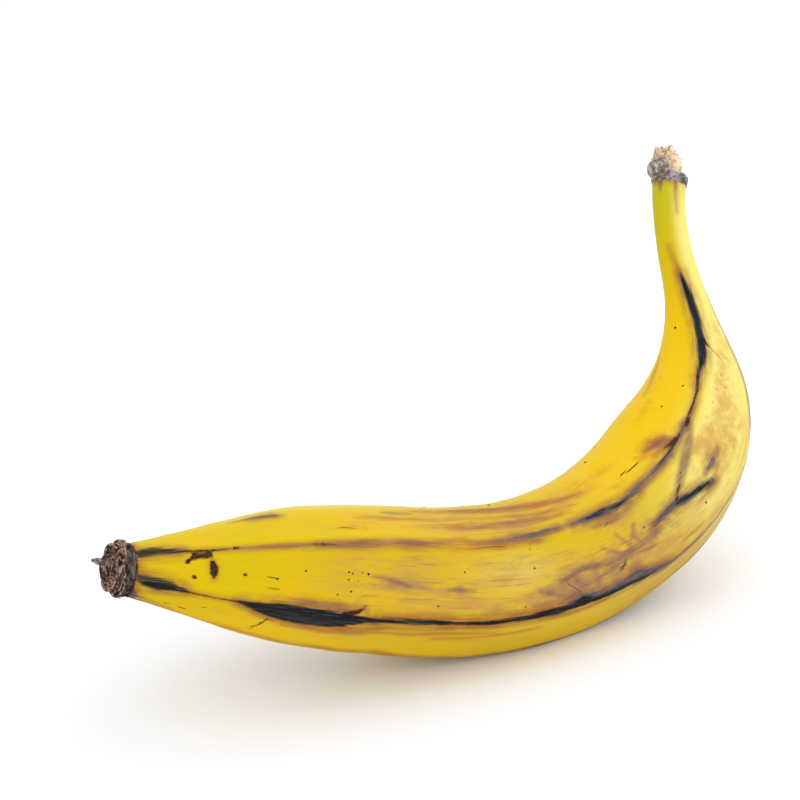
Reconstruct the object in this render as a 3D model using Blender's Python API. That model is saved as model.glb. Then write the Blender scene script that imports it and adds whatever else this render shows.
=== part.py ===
"""Plantain: one ripe fruit, standing on the outer side of its bend.

The fruit is a single closed loft.  Five-sided sections follow a centre line
that lies in one plane.  The fruit leans back onto one of its two outer faces,
where the peel is pressed flat by its own weight.  Metres, +Z up.
"""

import math

import bmesh
import bpy
import numpy as np

NAME = "plantain"

# Overall sizes
FRUIT_LENGTH = 0.297      # along the centre line, blossom scar to stem collar
BODY_RADIUS = 0.025       # from the centre line to a ridge, at the widest
TIP_RADIUS = 0.0077       # at the blossom scar
STEM_RADIUS = 0.0057      # at the stem collar
WIDEST = 0.60             # where the fruit is widest, by share of length

# Ends
STUB_LENGTH = 0.009       # torn stalk left above the collar
STUB_SWELL = 0.0007       # how much thicker the stub is than the stem
STUB_TAPER = 0.0013       # how much thinner the stub is at its torn end
SCAR_RISE = 0.0016        # how far the blossom scar stands out of the tip

# Standing pose
LEAN = math.radians(29.0)     # how far the plane of the bend leans back
REST_DEPTH = 0.0008           # how deep the peel is pressed flat underneath

# Direction of the centre line above the level, in degrees, by share of length
HEADINGS = (
    (0.00, -17.0),
    (0.16, -16.0),
    (0.32, -16.0),
    (0.46, 1.0),
    (0.58, 19.0),
    (0.68, 40.0),
    (0.77, 67.0),
    (0.85, 86.0),
    (0.92, 84.0),
    (1.00, 64.0),
)

# Fullness of the fruit by share of length: 0 is the thickness of the nearer
# end, 1 is the full thickness of the body
FULLNESS = (
    (0.00, 0.00),
    (0.07, 0.33),
    (0.15, 0.70),
    (0.25, 0.88),
    (0.42, 0.94),
    (WIDEST, 1.00),
    (0.70, 0.94),
    (0.78, 0.53),
    (0.84, 0.18),
    (0.91, 0.015),
    (1.00, 0.00),
)

# How five-sided the section is: 0 is round, 1 is fully faceted
FACETING = (
    (0.00, 0.60),
    (0.06, 0.90),
    (0.15, 1.00),
    (0.72, 1.00),
    (0.85, 0.75),
    (0.95, 0.40),
    (1.00, 0.30),
)

# Turn of the section about the centre line, in degrees, by share of length
TWIST = (
    (0.00, -6.0),
    (0.15, 5.0),
    (0.30, 4.0),
    (0.50, 1.0),
    (0.72, -4.0),
    (1.00, -2.0),
)

# Flats of the section: direction from the hollow side of the bend, in degrees,
# and distance from the centre line as a share of the ridge radius
FLATS = (
    (0.0, 0.930),
    (34.0, 0.900),
    (-34.0, 0.900),
    (96.0, 0.890),
    (-96.0, 0.890),
    (152.0, 0.885),
    (-152.0, 0.885),
)
RIDGE_CRISPNESS = 20.0    # higher makes the five ridges sharper

# Mesh density
RINGS = 66
STUB_RINGS = 4
SIDES = 36
PATH_STEPS = 600


def natural_spline(stations, places):
    """Smooth curve through (place, value) stations, free at both ends."""
    x = np.array([place for place, value in stations])
    y = np.array([value for place, value in stations])
    gap = np.diff(x)
    slope = np.diff(y) / gap
    count = len(x)
    matrix = np.eye(count)
    right = np.zeros(count)
    for i in range(1, count - 1):
        matrix[i, i - 1] = gap[i - 1]
        matrix[i, i] = 2.0 * (gap[i - 1] + gap[i])
        matrix[i, i + 1] = gap[i]
        right[i] = 6.0 * (slope[i] - slope[i - 1])
    bend = np.linalg.solve(matrix, right)
    k = np.clip(np.searchsorted(x, places) - 1, 0, count - 2)
    ahead = x[k + 1] - places
    behind = places - x[k]
    cubic = (bend[k] * ahead**3 + bend[k + 1] * behind**3) / (6.0 * gap[k])
    start = (y[k] / gap[k] - bend[k] * gap[k] / 6.0) * ahead
    finish = (y[k + 1] / gap[k] - bend[k + 1] * gap[k] / 6.0) * behind
    return cubic + start + finish


def running_total(values, step):
    """Running integral of evenly spaced values."""
    middles = 0.5 * (values[1:] + values[:-1]) * step
    return np.concatenate(([0.0], np.cumsum(middles)))


def centre_line(distances):
    """Along, up and heading of the centre line at distances from the scar."""
    total = FRUIT_LENGTH + STUB_LENGTH
    path = np.linspace(0.0, total, PATH_STEPS)
    share = np.minimum(path / FRUIT_LENGTH, 1.0)
    heading = np.radians(natural_spline(HEADINGS, share))
    step = path[1] - path[0]
    along = running_total(np.cos(heading), step)
    up = running_total(np.sin(heading), step)
    return (
        np.interp(distances, path, along),
        np.interp(distances, path, up),
        np.interp(distances, path, heading),
    )


def section_shape(angles):
    """Radius of the fully faceted section at each angle, as a share."""
    total = np.zeros(np.shape(angles))
    for direction, distance in FLATS:
        facing = np.clip(np.cos(angles - math.radians(direction)), 0.0, None)
        total += (facing / distance) ** RIDGE_CRISPNESS
    return total ** (-1.0 / RIDGE_CRISPNESS)


def ridge_radius(share):
    """Distance from the centre line to a ridge, by share of length."""
    stations = []
    for place, fullness in FULLNESS:
        end_radius = TIP_RADIUS if place < WIDEST else STEM_RADIUS
        radius = end_radius + (BODY_RADIUS - end_radius) * fullness
        stations.append((place, radius))
    return natural_spline(stations, share)


def body_rings():
    """Distance, ridge radius and faceting of each ring of the fruit."""
    share = np.linspace(0.0, 1.0, RINGS)
    places = [place for place, value in FACETING]
    amounts = [value for place, value in FACETING]
    faceting = np.interp(share, places, amounts)
    return share * FRUIT_LENGTH, ridge_radius(share), faceting


def stub_rings():
    """Distance, radius and faceting of the torn stalk above the collar."""
    share = np.arange(1, STUB_RINGS + 1) / STUB_RINGS
    swell = STUB_SWELL * np.sin(math.pi * share)
    radius = STEM_RADIUS + swell - STUB_TAPER * share**3
    faceting = np.full(STUB_RINGS, FACETING[-1][1])
    return FRUIT_LENGTH + STUB_LENGTH * share, radius, faceting


def scar_rings():
    """Distance, radius and faceting of the domed blossom scar."""
    distance = -SCAR_RISE * np.array([1.0, 0.75])
    radius = TIP_RADIUS * np.array([0.55, 0.88])
    faceting = np.full(2, FACETING[0][1])
    return distance, radius, faceting


def stand_up(along, up, aside):
    """Points of the bend's own plane, leaned back into the standing pose."""
    y = up * math.sin(LEAN) - aside * math.cos(LEAN)
    z = up * math.cos(LEAN) + aside * math.sin(LEAN)
    return np.stack((along, y, z), axis=-1)


def ring_points(distance, radius, faceting):
    """Grid of points, one row for each section of the fruit."""
    angles = np.linspace(0.0, 2.0 * math.pi, SIDES, endpoint=False)
    share = np.clip(distance / FRUIT_LENGTH, 0.0, 1.0)
    twist = np.radians(natural_spline(TWIST, share))
    shape = section_shape(angles - twist[:, None])
    spread = radius[:, None] * (1.0 + faceting[:, None] * (shape - 1.0))
    along, up, heading = centre_line(np.maximum(distance, 0.0))
    before = np.minimum(distance, 0.0)
    along = along + before * np.cos(heading)
    up = up + before * np.sin(heading)
    hollow = spread * np.cos(angles)
    aside = spread * np.sin(angles)
    x = along[:, None] - hollow * np.sin(heading)[:, None]
    z = up[:, None] + hollow * np.cos(heading)[:, None]
    return stand_up(x, z, aside)


def settle(points):
    """Press the underside flat and put the middle of the base at the origin."""
    flat = points.reshape(-1, 3)
    lowest = flat[:, 2].min() + REST_DEPTH
    points[..., 2] = np.maximum(points[..., 2] - lowest, 0.0)
    for axis in (0, 1):
        middle = 0.5 * (flat[:, axis].min() + flat[:, axis].max())
        points[..., axis] -= middle
    return points


def cap(bm, ring, outward_first):
    """Close an end ring with a fan of triangles about its middle."""
    middle = sum((vert.co for vert in ring[1:]), ring[0].co.copy()) / len(ring)
    centre = bm.verts.new(middle)
    for i, vert in enumerate(ring):
        following = ring[(i + 1) % len(ring)]
        if outward_first:
            bm.faces.new((centre, vert, following))
        else:
            bm.faces.new((centre, following, vert))


def build_solid():
    """One closed mesh of the whole fruit."""
    parts = [scar_rings(), body_rings(), stub_rings()]
    distance = np.concatenate([part[0] for part in parts])
    radius = np.concatenate([part[1] for part in parts])
    faceting = np.concatenate([part[2] for part in parts])
    points = settle(ring_points(distance, radius, faceting))
    bm = bmesh.new()
    rings = [[bm.verts.new(point) for point in row] for row in points.tolist()]
    for lower, upper in zip(rings, rings[1:]):
        for i in range(SIDES):
            j = (i + 1) % SIDES
            bm.faces.new((lower[i], lower[j], upper[j], upper[i]))
    cap(bm, rings[0], False)
    cap(bm, rings[-1], True)
    bmesh.ops.triangulate(bm, faces=bm.faces[:])
    bmesh.ops.recalc_face_normals(bm, faces=bm.faces[:])
    mesh = bpy.data.meshes.new(NAME)
    bm.to_mesh(mesh)
    bm.free()
    return mesh


def peel_material():
    """Ripe yellow peel with a soft sheen."""
    material = bpy.data.materials.new("ripe_peel")
    material.use_nodes = True
    shader = material.node_tree.nodes["Principled BSDF"]
    shader.inputs["Base Color"].default_value = (0.78, 0.53, 0.02, 1.0)
    shader.inputs["Roughness"].default_value = 0.45
    return material


def main():
    for old in list(bpy.data.objects):
        bpy.data.objects.remove(old, do_unlink=True)
    mesh = build_solid()
    mesh.materials.append(peel_material())
    for face in mesh.polygons:
        face.use_smooth = True
    fruit = bpy.data.objects.new(NAME, mesh)
    collection = bpy.data.collections.new(NAME)
    bpy.context.scene.collection.children.link(collection)
    collection.objects.link(fruit)


main()
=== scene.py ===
"""A ripe plantain standing on the outer side of its bend, on a plain pale floor.

The peel is one closed loft that carries its bruises as distance fields, so that
a finish can draw a crisp or a ragged edge at any scale.  The blossom scar, the
torn stalk, its fibres, the scabs and the hairline cracks are pieces of their own.
"""

import logging
import math
from dataclasses import dataclass, field
from enum import Enum
from typing import Any

import bmesh
import bpy
import numpy as np
from mathutils import Matrix, Vector
from mathutils.bvhtree import BVHTree


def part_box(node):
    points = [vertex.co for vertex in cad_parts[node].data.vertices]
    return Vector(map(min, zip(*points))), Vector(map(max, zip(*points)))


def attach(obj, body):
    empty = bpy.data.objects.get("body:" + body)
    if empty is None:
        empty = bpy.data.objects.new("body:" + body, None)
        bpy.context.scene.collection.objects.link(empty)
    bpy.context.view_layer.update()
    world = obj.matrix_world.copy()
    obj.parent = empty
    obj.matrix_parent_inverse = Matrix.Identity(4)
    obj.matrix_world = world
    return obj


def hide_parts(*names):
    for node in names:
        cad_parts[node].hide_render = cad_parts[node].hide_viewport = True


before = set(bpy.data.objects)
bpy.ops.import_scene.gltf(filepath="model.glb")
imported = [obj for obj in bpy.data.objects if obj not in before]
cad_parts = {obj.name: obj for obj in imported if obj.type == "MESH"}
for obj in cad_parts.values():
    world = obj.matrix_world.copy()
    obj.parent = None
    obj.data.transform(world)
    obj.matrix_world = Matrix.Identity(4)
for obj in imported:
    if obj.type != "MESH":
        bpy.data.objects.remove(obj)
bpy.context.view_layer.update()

LOG = logging.getLogger("plantain")
BODY = "root"
NODE = "plantain"
MM = 0.001
FULL_TURN = 2.0 * math.pi
FIELD_LIMIT = 8.0     # mm, beyond which a distance field says no more
CORD_SIDES = 6
STRAND_POINTS = 9

Triple = tuple[float, float, float]
Stations = tuple[tuple[float, float], ...]
Path = tuple[Triple, ...]
Colour = Triple


class Stain(Enum):
    """Kinds of mark with an edge of their own, each a distance field."""

    INK = "ink"
    SLATE = "slate"
    UMBER = "umber"
    PLUM = "plum"
    RUST = "rust"
    OLIVE = "olive"


class Tint(Enum):
    """Soft changes of the peel's colour, each a field from 0 to 1; the pale one is chiefly a painted
    highlight.
    """

    TAN = "tan"
    # Pale: chiefly a painted highlight where the right light falls on the bend and the neck, with a few small
    # pale patches of the peel's own
    PALE_AND_SHEEN = "pale"
    GOLD = "gold"
    GREEN = "green"
    DUSK = "dusk"
    SCORCH = "scorch"


Strokes = dict[Stain, tuple[Path, ...]]
Washes = dict[Tint, tuple[tuple[float, ...], ...]]


def wrapped(degrees: Any) -> Any:
    """Bring angles into -180 to 180 degrees."""
    return (degrees + 180.0) % 360.0 - 180.0


def full_turn(count: int) -> np.ndarray:
    """Evenly spaced angles right round, in radians."""
    return np.linspace(0.0, FULL_TURN, count, endpoint=False)


def hump(value: Any, middle: float, spread: float) -> Any:
    """A soft hump of height 1 about a middle."""
    return np.exp(-(((value - middle) / spread) ** 2))


def waves(turn: np.ndarray, parts: Path) -> np.ndarray:
    """Add up waves round a rim, each of height, count and phase."""
    return sum(height * np.sin(count * turn + phase) for height, count, phase in parts)


@dataclass(frozen=True)
class Chart:
    """Where points of the peel are: mm along, degrees round, mm of girth."""

    along: np.ndarray
    around: np.ndarray
    girth: np.ndarray


@dataclass(frozen=True)
class Stroke:
    """A mark drawn along the peel.

    Each point of the path is (mm along the fruit, degrees round it from the
    hollow side, half width in mm).
    """

    stain: Stain
    path: Path

    def edge(self, chart: Chart) -> np.ndarray:
        """Distance from each point to the stroke's edge.

        Args:
            chart: The points of the peel.

        Returns:
            Millimetres, negative inside the stroke.
        """
        best = np.full(len(chart.along), FIELD_LIMIT)
        for (start, turn, width), (end, last, final) in zip(self.path, self.path[1:]):
            x = chart.along - start
            y = np.radians(wrapped(chart.around - turn)) * chart.girth
            run = end - start
            rise = np.radians(wrapped(last - turn)) * chart.girth
            share = (x * run + y * rise) / np.maximum(run * run + rise * rise, 1e-6)
            share = np.clip(share, 0.0, 1.0)
            away = np.hypot(x - share * run, y - share * rise)
            best = np.minimum(best, away - width - (final - width) * share)
        return best


@dataclass(frozen=True)
class Wash:
    """A soft patch of tint: middle and spread, in mm along and degrees round."""

    tint: Tint
    along: float
    around: float
    length: float
    width: float
    strength: float = 1.0
    crispness: float = 2.0

    def amount(self, chart: Chart) -> np.ndarray:
        """How much of the tint each point has.

        Args:
            chart: The points of the peel.

        Returns:
            The amount, from 0 to the wash's strength.
        """
        run = np.abs(chart.along - self.along) / self.length
        turn = np.abs(wrapped(chart.around - self.around)) / self.width
        return self.strength * np.exp(-(run**self.crispness) - turn**self.crispness)


@dataclass(frozen=True)
class StainFinish:
    """How one kind of stain looks.

    Colours are 0 to 255.  Softness is the width of the edge in mm, and
    raggedness is how far the peel's fibres break it.
    """

    colour: Colour
    fibre: Colour
    strength: float
    softness: float
    raggedness: float
    patchiness: float = 0.0


def linear(colour: Colour) -> tuple[float, float, float, float]:
    """Turn a 0 to 255 display colour into scene-linear RGBA.

    Args:
        colour: Red, green and blue from 0 to 255.

    Returns:
        The colour that a shader socket takes.
    """
    share = np.array(colour) / 255.0
    parts = np.where(share <= 0.04045, share / 12.92, ((share + 0.055) / 1.055) ** 2.4)
    return (*parts.tolist(), 1.0)


def natural_spline(stations: Stations, places: np.ndarray) -> np.ndarray:
    """Read a smooth curve through stations, free at both ends.

    Args:
        stations: Pairs of place and value, in order.
        places: Where to read the curve.

    Returns:
        The curve's value at each place.
    """
    x, y = np.array(stations, float).T
    gap = np.diff(x)
    slope = np.diff(y) / gap
    count = len(x)
    matrix = np.eye(count)
    right = np.zeros(count)
    for i in range(1, count - 1):
        matrix[i, i - 1] = gap[i - 1]
        matrix[i, i] = 2.0 * (gap[i - 1] + gap[i])
        matrix[i, i + 1] = gap[i]
        right[i] = 6.0 * (slope[i] - slope[i - 1])
    bend = np.linalg.solve(matrix, right)
    k = np.clip(np.searchsorted(x, places) - 1, 0, count - 2)
    ahead = x[k + 1] - places
    behind = places - x[k]
    cubic = (bend[k] * ahead**3 + bend[k + 1] * behind**3) / (6.0 * gap[k])
    start = (y[k] / gap[k] - bend[k] * gap[k] / 6.0) * ahead
    finish = (y[k + 1] / gap[k] - bend[k + 1] * gap[k] / 6.0) * behind
    return cubic + start + finish


def read_outline(outline: Stations, places: int | np.ndarray) -> tuple[np.ndarray, np.ndarray]:
    """Follow an outline of paired values from its first to its last.

    Args:
        outline: The paired values.
        places: How many even places to read, or the places themselves, from 0 to 1.

    Returns:
        The first and the second value at each place.
    """
    if isinstance(places, int):
        places = np.linspace(0.0, 1.0, places)
    knots = np.linspace(0.0, 1.0, len(outline))
    first, second = zip(*outline)
    return (
        natural_spline(tuple(zip(knots, first)), places),
        natural_spline(tuple(zip(knots, second)), places),
    )


@dataclass(frozen=True)
class FruitForm:
    """Bend, girth and section of the fruit, the same as the solid's."""

    length: float = 0.297
    stub_length: float = 0.009
    stub_taper: float = 0.0013
    scar_rise: float = 0.0016
    scar_steps: Stations = ((1.0, 0.55), (0.75, 0.88))
    body_radius: float = 0.025
    tip_radius: float = 0.0077
    stem_radius: float = 0.0057
    widest: float = 0.60
    lean: float = math.radians(29.0)
    rest_depth: float = 0.0008
    crispness: float = 20.0
    path_steps: int = 1500
    headings: Stations = (
        (0.00, -17.0), (0.16, -16.0), (0.32, -16.0), (0.46, 1.0), (0.58, 19.0),
        (0.68, 40.0), (0.77, 67.0), (0.85, 86.0), (0.92, 84.0), (1.00, 64.0),
    )
    fullness: Stations = (
        (0.00, 0.00), (0.07, 0.33), (0.15, 0.70), (0.25, 0.88), (0.42, 0.94), (0.60, 1.00),
        (0.70, 0.94), (0.78, 0.53), (0.84, 0.18), (0.91, 0.015), (1.00, 0.00),
    )
    faceting: Stations = (
        (0.00, 0.60), (0.06, 0.90), (0.15, 1.00), (0.72, 1.00), (0.85, 0.75), (0.95, 0.40),
        (1.00, 0.30),
    )
    twist: Stations = (
        (0.00, -6.0), (0.15, 5.0), (0.30, 4.0), (0.50, 1.0), (0.72, -4.0), (1.00, -2.0),
    )
    flats: Stations = (
        (0.0, 0.930), (34.0, 0.900), (-34.0, 0.900), (96.0, 0.890), (-96.0, 0.890),
        (152.0, 0.885), (-152.0, 0.885),
    )

    def centre_line(self, distance: np.ndarray) -> tuple[np.ndarray, np.ndarray, np.ndarray]:
        """Follow the middle of the fruit.

        Args:
            distance: Metres from the blossom scar.

        Returns:
            Metres along, metres up, and heading in radians, in the bend's plane.
        """
        path = np.linspace(0.0, self.length + self.stub_length, self.path_steps)
        share = np.minimum(path / self.length, 1.0)
        heading = np.radians(natural_spline(self.headings, share))
        step = path[1] - path[0]
        inside = np.clip(distance, 0.0, path[-1])
        before = np.minimum(distance, 0.0)
        turn = np.interp(inside, path, heading)
        runs = []
        for way in (np.cos, np.sin):
            slope = way(heading)
            middles = 0.5 * (slope[1:] + slope[:-1]) * step
            run = np.concatenate(([0.0], np.cumsum(middles)))
            runs.append(np.interp(inside, path, run) + before * way(turn))
        return runs[0], runs[1], turn

    def ridge_radius(self, share: np.ndarray) -> np.ndarray:
        """Distance from the centre line to a ridge.

        Args:
            share: Places from 0 at the scar to 1 at the collar.

        Returns:
            Metres at each place.
        """
        stations = []
        for place, fullness in self.fullness:
            end = self.tip_radius if place < self.widest else self.stem_radius
            stations.append((place, end + (self.body_radius - end) * fullness))
        return natural_spline(tuple(stations), share)

    def section(self, angle: np.ndarray) -> np.ndarray:
        """Radius of the fully faceted section.

        Args:
            angle: Radians round the section.

        Returns:
            The radius at each angle, as a share of the ridge's.
        """
        total = np.zeros(np.shape(angle))
        for direction, reach in self.flats:
            facing = np.clip(np.cos(angle - math.radians(direction)), 0.0, None)
            total += (facing / reach) ** self.crispness
        return total ** (-1.0 / self.crispness)

    def radius(self, distance: np.ndarray, angle: np.ndarray) -> np.ndarray:
        """Distance from the centre line to the peel.

        Args:
            distance: Metres from the blossom scar.
            angle: Radians round the fruit from the hollow side.

        Returns:
            Metres for each pair.
        """
        share = np.clip(distance / self.length, 0.0, 1.0)
        twist = np.radians(natural_spline(self.twist, share))
        faceting = np.interp(share, *zip(*self.faceting))
        faceted = 1.0 + faceting * (self.section(angle - twist) - 1.0)
        return self.ridge_radius(share) * faceted

    def stand(self, along: np.ndarray, up: np.ndarray, aside: np.ndarray) -> np.ndarray:
        """Lean points of the bend's own plane back into the standing pose.

        Args:
            along: Metres along, in the bend's plane.
            up: Metres up, in the bend's plane.
            aside: Metres out of the plane.

        Returns:
            An array of x, y, z for each.
        """
        y = up * math.sin(self.lean) - aside * math.cos(self.lean)
        z = up * math.cos(self.lean) + aside * math.sin(self.lean)
        return np.stack((along, y, z), axis=-1)

    def points(self, distance: np.ndarray, angle: np.ndarray, reach: np.ndarray) -> np.ndarray:
        """Points at a reach from the centre line, before the fruit is set down.

        Args:
            distance: Metres from the blossom scar.
            angle: Radians round the fruit from the hollow side.
            reach: Metres out from the centre line.

        Returns:
            An array of x, y, z for each.
        """
        along, up, turn = self.centre_line(distance)
        hollow = reach * np.cos(angle)
        return self.stand(along - hollow * np.sin(turn), up + hollow * np.cos(turn), reach * np.sin(angle))


@dataclass
class Graph:
    """A node tree, built by adding nodes and feeding their inputs."""

    tree: Any
    count: int = 0
    columns: int = 10
    step: tuple[float, float] = (220.0, -320.0)

    def add(self, kind: str, feeds: dict[Any, Any] | None = None, **settings: Any) -> Any:
        """Add a node.

        Args:
            kind: The node's type name.
            feeds: Value or socket for each input, by name or number.
            **settings: Properties of the node itself.

        Returns:
            The new node.
        """
        node = self.tree.nodes.new(kind)
        row, column = divmod(self.count, self.columns)
        node.location = (self.step[0] * column, self.step[1] * row)
        self.count += 1
        for name, value in settings.items():
            setattr(node, name, value)
        for name, value in (feeds or {}).items():
            self.feed(node.inputs[name], value)
        return node

    def feed(self, socket: Any, value: Any) -> None:
        """Link a socket to an input, or set the input's own value.

        Args:
            socket: The input.
            value: The socket that feeds it, or its value.
        """
        if isinstance(value, bpy.types.NodeSocket):
            self.tree.links.new(value, socket)
        else:
            socket.default_value = value

    def sum(self, kind: str, *values: Any, clamp: bool = False) -> Any:
        """One step of arithmetic.

        Args:
            kind: Blender's name for the step.
            *values: Its numbers or sockets.
            clamp: Whether to hold the result from 0 to 1.

        Returns:
            The result's socket.
        """
        feeds = dict(enumerate(values))
        return self.add("ShaderNodeMath", feeds, operation=kind, use_clamp=clamp).outputs[0]

    def times(self, first: Any, second: Any) -> Any:
        """Multiply two values."""
        return self.sum("MULTIPLY", first, second)

    def plus(self, first: Any, second: Any) -> Any:
        """Add two values."""
        return self.sum("ADD", first, second)

    def minus(self, first: Any, second: Any) -> Any:
        """Take the second value from the first."""
        return self.sum("SUBTRACT", first, second)

    def times_plus(self, first: Any, second: Any, third: Any) -> Any:
        """Multiply two values and add a third."""
        return self.sum("MULTIPLY_ADD", first, second, third)

    def remap(self, value: Any, low: float, high: float, start: float = 0.0, end: float = 1.0) -> Any:
        """Ease a value from one range into another, held at both ends.

        Args:
            value: The value's socket.
            low: Where the first range starts.
            high: Where it ends.
            start: What low becomes.
            end: What high becomes.

        Returns:
            The result's socket.
        """
        feeds = {"Value": value, "From Min": low, "From Max": high, "To Min": start, "To Max": end}
        node = self.add("ShaderNodeMapRange", feeds, interpolation_type="SMOOTHSTEP")
        return node.outputs["Result"]

    def blend(self, share: Any, first: Any, second: Any, way: str = "MIX") -> Any:
        """Mix two colours by a share."""
        feeds = {0: share, 6: first, 7: second}
        return self.add("ShaderNodeMix", feeds, data_type="RGBA", blend_type=way).outputs[2]

    def vector(self, kind: str, first: Any, second: Any) -> Any:
        """One step of vector arithmetic, by Blender's name for it."""
        feeds = {0: first, ("Scale" if kind == "SCALE" else 1): second}
        return self.add("ShaderNodeVectorMath", feeds, operation=kind).outputs[0]

    def joined(self, x: Any, y: Any, z: Any) -> Any:
        """Make a vector of three values."""
        return self.add("ShaderNodeCombineXYZ", {0: x, 1: y, 2: z}).outputs[0]

    def drawn(self, vector: Any, stretch: Any) -> Any:
        """Draw a pattern out along a vector's third axis.

        Args:
            vector: The coordinates.
            stretch: How many times longer the pattern gets.

        Returns:
            The new coordinates.
        """
        parts = self.add("ShaderNodeSeparateXYZ", {0: vector}).outputs
        return self.joined(parts["X"], parts["Y"], self.sum("DIVIDE", parts["Z"], stretch))

    def noise(self, vector: Any, scale: Any, detail: Any = 3.0, rough: float = 0.55) -> Any:
        """Cloudy noise about one half."""
        feeds = {"Vector": vector, "Scale": scale, "Detail": detail, "Roughness": rough}
        return self.add("ShaderNodeTexNoise", feeds).outputs["Fac"]

    def field(self, name: str, part: str = "Fac") -> Any:
        """A number, or with Vector a vector, that the piece carries at its points."""
        return self.add("ShaderNodeAttribute", attribute_name=name).outputs[part]

    def socket(self, name: str, kind: str, way: str = "INPUT", value: Any = None) -> Any:
        """Add a named socket to the tree's outside.

        Args:
            name: The socket's name.
            kind: Its type name.
            way: INPUT or OUTPUT.
            value: Where it starts, if anywhere.

        Returns:
            The socket.
        """
        socket = self.tree.interface.new_socket(name=name, in_out=way, socket_type=kind)
        if value is not None:
            socket.default_value = value
        return socket

    def place_group(self, tree: Any, feeds: dict[str, Any]) -> Any:
        """Place a shader group and return its only output."""
        return self.add("ShaderNodeGroup", feeds, node_tree=tree).outputs[0]


def shader_group(name: str, inputs: dict[str, float | None], output: str) -> tuple[Graph, Any]:
    """Find a shader group, or start it.

    Args:
        name: The group's name.
        inputs: Each input's starting value, or None for a vector.
        output: The name of its one output, a number.

    Returns:
        The group as a graph, and its inputs while it is new and empty, else None.
    """
    found = bpy.data.node_groups.get(name)
    if found is not None:
        return Graph(found), None
    graph = Graph(bpy.data.node_groups.new(name, "ShaderNodeTree"))
    for key, value in inputs.items():
        kind = "NodeSocketVector" if value is None else "NodeSocketFloat"
        graph.socket(key, kind, value=value)
    graph.socket(output, "NodeSocketFloat", "OUTPUT")
    return graph, graph.add("NodeGroupInput").outputs


def fibre_grain() -> Any:
    """Group: streaks that run along the fruit, in mm of its straightened shape.

    Returns:
        The group, with Grain from 0 to 1.
    """
    inputs = {"Coordinates": None, "Fineness": 1.0, "Stretch": 10.0, "Detail": 3.0}
    graph, given = shader_group("fibre_grain", inputs, "Grain")
    if given is not None:
        drawn = graph.drawn(given["Coordinates"], given["Stretch"])
        grain = graph.noise(drawn, given["Fineness"], given["Detail"], 0.6)
        graph.add("NodeGroupOutput", {"Grain": grain})
    return graph.tree


def ragged_edge() -> Any:
    """Group: a mask from a distance field, with an edge broken by grain.

    Returns:
        The group, with Mask 1 inside the edge and 0 outside.
    """
    inputs = {"Distance": 0.0, "Grain": 0.5, "Raggedness": 0.5, "Softness": 0.3}
    graph, given = shader_group("ragged_edge", inputs, "Mask")
    if given is not None:
        swing = graph.times(graph.minus(given["Grain"], 0.5), given["Raggedness"])
        inward = graph.minus(swing, given["Distance"])
        share = graph.sum("DIVIDE", inward, given["Softness"])
        graph.add("NodeGroupOutput", {"Mask": graph.remap(share, -1.0, 1.0)})
    return graph.tree


def freckles() -> Any:
    """Group: sparse round specks of uneven size.

    Returns:
        The group, with Mask 1 inside a speck.
    """
    inputs = {"Coordinates": None, "Spacing": 5.0, "Size": 0.3, "Chance": 0.3}
    graph, given = shader_group("freckles", inputs, "Mask")
    if given is not None:
        often = graph.sum("DIVIDE", 1.0, given["Spacing"])
        cells = graph.add("ShaderNodeTexVoronoi", {"Vector": given["Coordinates"], "Scale": often})
        away = graph.times(cells.outputs["Distance"], given["Spacing"])
        draw = graph.add("ShaderNodeSeparateColor", {0: cells.outputs["Color"]}).outputs
        present = graph.sum("LESS_THAN", draw[0], given["Chance"])
        reach = graph.times(graph.times(given["Size"], draw[1]), present)
        graph.add("NodeGroupOutput", {"Mask": graph.remap(graph.minus(reach, away), -0.08, 0.08)})
    return graph.tree


@dataclass
class Surface:
    """A material in the making: its nodes and its one shader."""

    name: str
    roughness: float
    gloss: float
    material: bpy.types.Material = field(init=False)
    graph: Graph = field(init=False)
    shader: Any = field(init=False)

    def __post_init__(self) -> None:
        """Start the material."""
        self.material = bpy.data.materials.new(self.name)
        self.material.use_nodes = True
        self.graph = Graph(self.material.node_tree)
        self.shader = self.material.node_tree.nodes["Principled BSDF"]
        self.feed("Roughness", self.roughness)
        self.feed("Specular IOR Level", self.gloss)

    def feed(self, socket: str, value: Any) -> None:
        """Feed one of the shader's sockets."""
        self.graph.feed(self.shader.inputs[socket], value)

    def bump(self, height: Any, strength: float, distance: float) -> None:
        """Feed the shader a fine relief, with its depth in metres."""
        feeds = {"Strength": strength, "Distance": distance, "Height": height}
        self.feed("Normal", self.graph.add("ShaderNodeBump", feeds).outputs["Normal"])


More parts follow.
